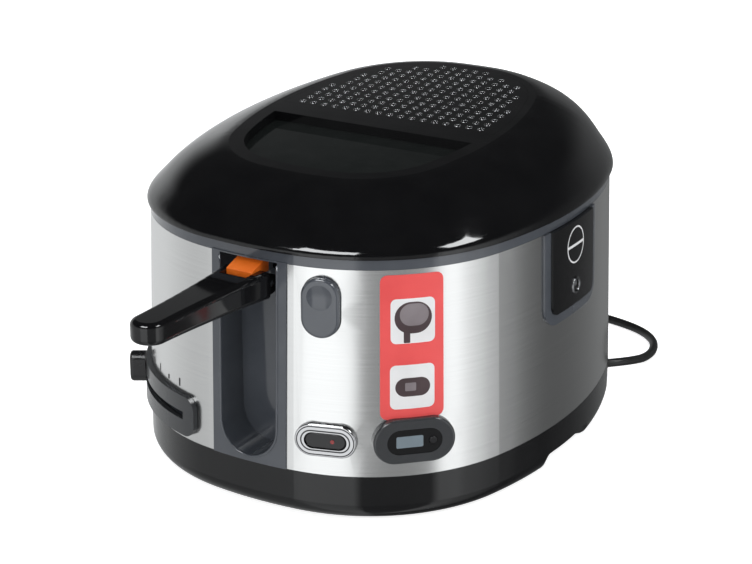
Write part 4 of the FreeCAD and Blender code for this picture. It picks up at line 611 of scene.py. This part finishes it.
def coil_points():
    """Half turns that spiral in, climb a layer and spiral out again, as in the CAD source.

    Half turn k has its centre on the coil's line, a radius from where the last one ended, so the
    arcs meet tangent; control points stand a little outside the arc, because the curve cuts in.
    """
    points = []
    step = np.arange(COIL_STEPS)
    turn = np.pi * step / COIL_STEPS
    y, sign, radius = COIL_CENTRE[1] + COIL_OUTER_RADIUS, 1, COIL_OUTER_RADIUS
    z = LEAD_DIAMETER / MM / 2.0 + 0.1
    layers = [(0, 0)] * COIL_HALF_TURNS + [(0, 1)] + [(1, 1)] * COIL_HALF_TURNS
    for index, (low, high) in enumerate(layers):
        if index:
            radius += -COIL_PITCH / 2.0 if index <= COIL_HALF_TURNS else COIL_PITCH / 2.0
        middle = y - sign * radius
        swell = radius / math.cos(math.pi / COIL_STEPS / 2.0) ** 0.7
        rise = z + COIL_RISE * (low + (high - low) * step / COIL_STEPS)
        across = COIL_CENTRE[0] - sign * swell * np.sin(turn)
        points.append(np.stack([across, middle + sign * swell * np.cos(turn), rise], axis=1))
        y, sign = y - sign * 2.0 * radius, -sign
    points.append(np.array([[COIL_CENTRE[0], y, z + COIL_RISE]]))
    return np.concatenate(points)


def lead_points():
    """Control points of the lead from its relief, along the table, through the coil to the plug."""
    a = math.radians(LEAD_ANGLE)
    out = np.array((math.sin(a), -math.cos(a), 0.0))
    wall = np.array((*LEAD_CORNER, LEAD_HEIGHT)) + out * LEAD_WALL_RADIUS
    start = wall + np.outer((RELIEF_OUTSIDE, RELIEF_OUTSIDE + LEAD_STRAIGHT), out)
    coil = coil_points()
    tail = coil[-1:] + np.array([[TAIL_START, 0.0, 0.0]])
    points = np.concatenate([start, np.array(LEAD_ROUTE), coil, tail, np.array(TAIL_ROUTE)])
    return points * MM + np.array((0.0, SHIFT_Y, 0.0))


def mains_lead(finish):
    """The whole lead as one smooth round curve through its control points."""
    points = lead_points()
    curve = bpy.data.curves.new("mains_lead_curve", "CURVE")
    curve.dimensions = "3D"
    spline = curve.splines.new("NURBS")
    spline.points.add(len(points) - 1)
    spline.points.foreach_set("co", np.column_stack([points, np.ones(len(points))]).ravel())
    spline.order_u = 3
    spline.use_endpoint_u = True
    spline.resolution_u = 6
    bare = curve.copy()
    probe = bpy.data.objects.new("lead_length", bare)
    line = bpy.data.meshes.new_from_object(probe)
    co = np.empty(3 * len(line.vertices))
    line.vertices.foreach_get("co", co)
    bpy.data.objects.remove(probe)
    bpy.data.meshes.remove(line)
    curve.bevel_depth = LEAD_DIAMETER / 2.0
    curve.bevel_resolution = 5
    curve.use_fill_caps = True
    lead = bpy.data.objects.new("mains_lead_curve", curve)
    bpy.context.scene.collection.objects.link(lead)
    put(lead, finish, "housing")
    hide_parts("mains_lead", "lead_coil", "lead_tail")


def add_camera():
    data = bpy.data.cameras.new("camera")
    camera = bpy.data.objects.new("camera", data)
    a, e = math.radians(CAMERA_AZIMUTH), math.radians(CAMERA_ELEVATION)
    back = Vector((math.sin(a) * math.cos(e), -math.cos(a) * math.cos(e), math.sin(e)))
    camera.location = Vector(CAMERA_TARGET) + back * CAMERA_DISTANCE
    camera.rotation_euler = (-back).to_track_quat("-Z", "Y").to_euler()
    data.sensor_width = SENSOR_WIDTH
    data.lens = CAMERA_LENS
    bpy.context.scene.collection.objects.link(camera)
    bpy.context.scene.camera = camera


def add_lights():
    """Soft light for the shading; the shapes seen in glossy pieces are in the world."""
    middle = Vector((0.0, SHIFT_Y, 0.12))
    for name, place, size, power in (
        ("softbox_front", (0.15, -1.7, 0.8), (0.9, 0.6), 8.5),
        ("softbox_right", (1.7, -0.1, 0.9), (0.6, 1.0), 8.5),
        ("softbox_top", (0.0, 0.2, 1.8), (1.2, 1.2), 7.0),
    ):
        data = bpy.data.lights.new(name, "AREA")
        data.shape = "RECTANGLE"
        data.size, data.size_y = size
        data.energy = power
        light = bpy.data.objects.new(name, data)
        light.location = place
        light.rotation_euler = (middle - Vector(place)).to_track_quat("-Z", "Y").to_euler()
        light.visible_glossy = False
        bpy.context.scene.collection.objects.link(light)


def add_world():
    """White to the camera, a studio with pale bands to glossy pieces and an even grey to the rest."""
    world = bpy.data.worlds.new("studio")
    bpy.context.scene.world = world
    world.use_nodes = True
    tree = world.node_tree
    tree.nodes.clear()

    def work(operation, *values):
        node = tree.nodes.new("ShaderNodeMath")
        node.operation = operation
        for slot, value in enumerate(values):
            if isinstance(value, (int, float)):
                node.inputs[slot].default_value = value
            else:
                tree.links.new(value, node.inputs[slot])
        return node.outputs[0]

    place = tree.nodes.new("ShaderNodeTexCoord")
    split = tree.nodes.new("ShaderNodeSeparateXYZ")
    tree.links.new(place.outputs["Generated"], split.inputs[0])
    x, y, z = split.outputs
    turn = work("MULTIPLY", work("ARCTAN2", x, work("MULTIPLY", y, -1.0)), 180.0 / math.pi)
    height = work("MULTIPLY", work("ARCSINE", z), 180.0 / math.pi)
    ramp = tree.nodes.new("ShaderNodeValToRGB")
    stops = ramp.color_ramp.elements
    while len(stops) < len(STUDIO):
        stops.new(0.5)
    for stop, (angle, level) in zip(stops, STUDIO):
        stop.position = (angle + 180.0) / 360.0
        stop.color = (level / STUDIO_PEAK,) * 3 + (1.0,)
    tree.links.new(work("DIVIDE", work("ADD", turn, 180.0), 360.0), ramp.inputs["Fac"])
    fade = tree.nodes.new("ShaderNodeMapRange")
    fade.interpolation_type = "SMOOTHSTEP"
    tree.links.new(height, fade.inputs["Value"])
    for key, value in (("From Min", 8.0), ("From Max", 26.0), ("To Min", STUDIO_PEAK), ("To Max", 0.0)):
        fade.inputs[key].default_value = value
    dim = tree.nodes.new("ShaderNodeMapRange")
    tree.links.new(height, dim.inputs["Value"])
    for key, value in (("From Min", -34.0), ("From Max", -20.0), ("To Min", 0.55), ("To Max", 1.0)):
        dim.inputs[key].default_value = value
    band = work("MULTIPLY", ramp.outputs["Color"], fade.outputs["Result"])
    band = work("MULTIPLY", band, dim.outputs["Result"])
    level = work("ADD", band, STUDIO_CEILING)
    for middle, half, lift, half_lift, power in SOFTBOXES:
        beside = work("COMPARE", turn, middle, half)
        inside = work("MULTIPLY", beside, work("COMPARE", height, lift, half_lift))
        level = work("ADD", level, work("MULTIPLY", inside, power))

    path = tree.nodes.new("ShaderNodeLightPath")
    output = tree.nodes.new("ShaderNodeOutputWorld")
    seen, studio, even = (tree.nodes.new("ShaderNodeBackground") for _ in range(3))
    seen.inputs["Color"].default_value = (1, 1, 1, 1)
    studio.inputs["Color"].default_value = (0.97, 0.99, 1.0, 1)
    even.inputs["Color"].default_value = (0.95, 0.97, 1.0, 1)
    even.inputs["Strength"].default_value = EVEN_LIGHT
    tree.links.new(level, studio.inputs["Strength"])
    lit = tree.nodes.new("ShaderNodeMixShader")
    whole = tree.nodes.new("ShaderNodeMixShader")
    for mix, key, low, high in (
        (lit, "Is Glossy Ray", even, studio),
        (whole, "Is Camera Ray", lit, seen),
    ):
        tree.links.new(path.outputs[key], mix.inputs["Fac"])
        tree.links.new(low.outputs[0], mix.inputs[1])
        tree.links.new(high.outputs[0], mix.inputs[2])
    tree.links.new(whole.outputs[0], output.inputs["Surface"])


def add_floor():
    """White floor that glows only to the camera, so that it fades into the background."""
    x, y = np.meshgrid(np.array([-3.0, 3.0]), np.array([-3.0, 3.0]))
    floor = sheet_mesh("floor", np.stack([x, y, np.zeros_like(x)], axis=-1))
    f = Finish("floor_white")
    f.set(Base_Color=(0.85, 0.85, 0.85, 1.0), Roughness=0.8, Emission_Color=(1, 1, 1, 1))
    path = f.add("ShaderNodeLightPath")
    glow = f.add("ShaderNodeMath", operation="MULTIPLY")
    glow.inputs[1].default_value = FLOOR_GLOW
    f.link(path, "Is Camera Ray", glow, 0)
    f.link(glow, 0, f.shader, "Emission Strength")
    floor.data.materials.append(f.material)
    floor.visible_glossy = False


def main():
    for obj in list(bpy.data.objects):
        bpy.data.objects.remove(obj)
    bpy.context.scene.view_settings.view_transform = "Standard"
    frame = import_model()
    made = finishes()
    dress(frame, made)
    red_label()
    slider_ticks(made["dark_plastic"])
    panel_sign()
    wire_basket(made["bright_steel"])
    polished = plated("polished_lip", (0.30, 0.30, 0.31), (0.05, 0.09))
    vent_lips(frame, polished)
    screw_cup(polished)
    switch_groove_and_edge_shade(made["dark_plastic"])
    channel_bead(made["slate_plastic"])
    mains_lead(made["cord"])
    add_camera()
    add_lights()
    add_world()
    add_floor()


main()
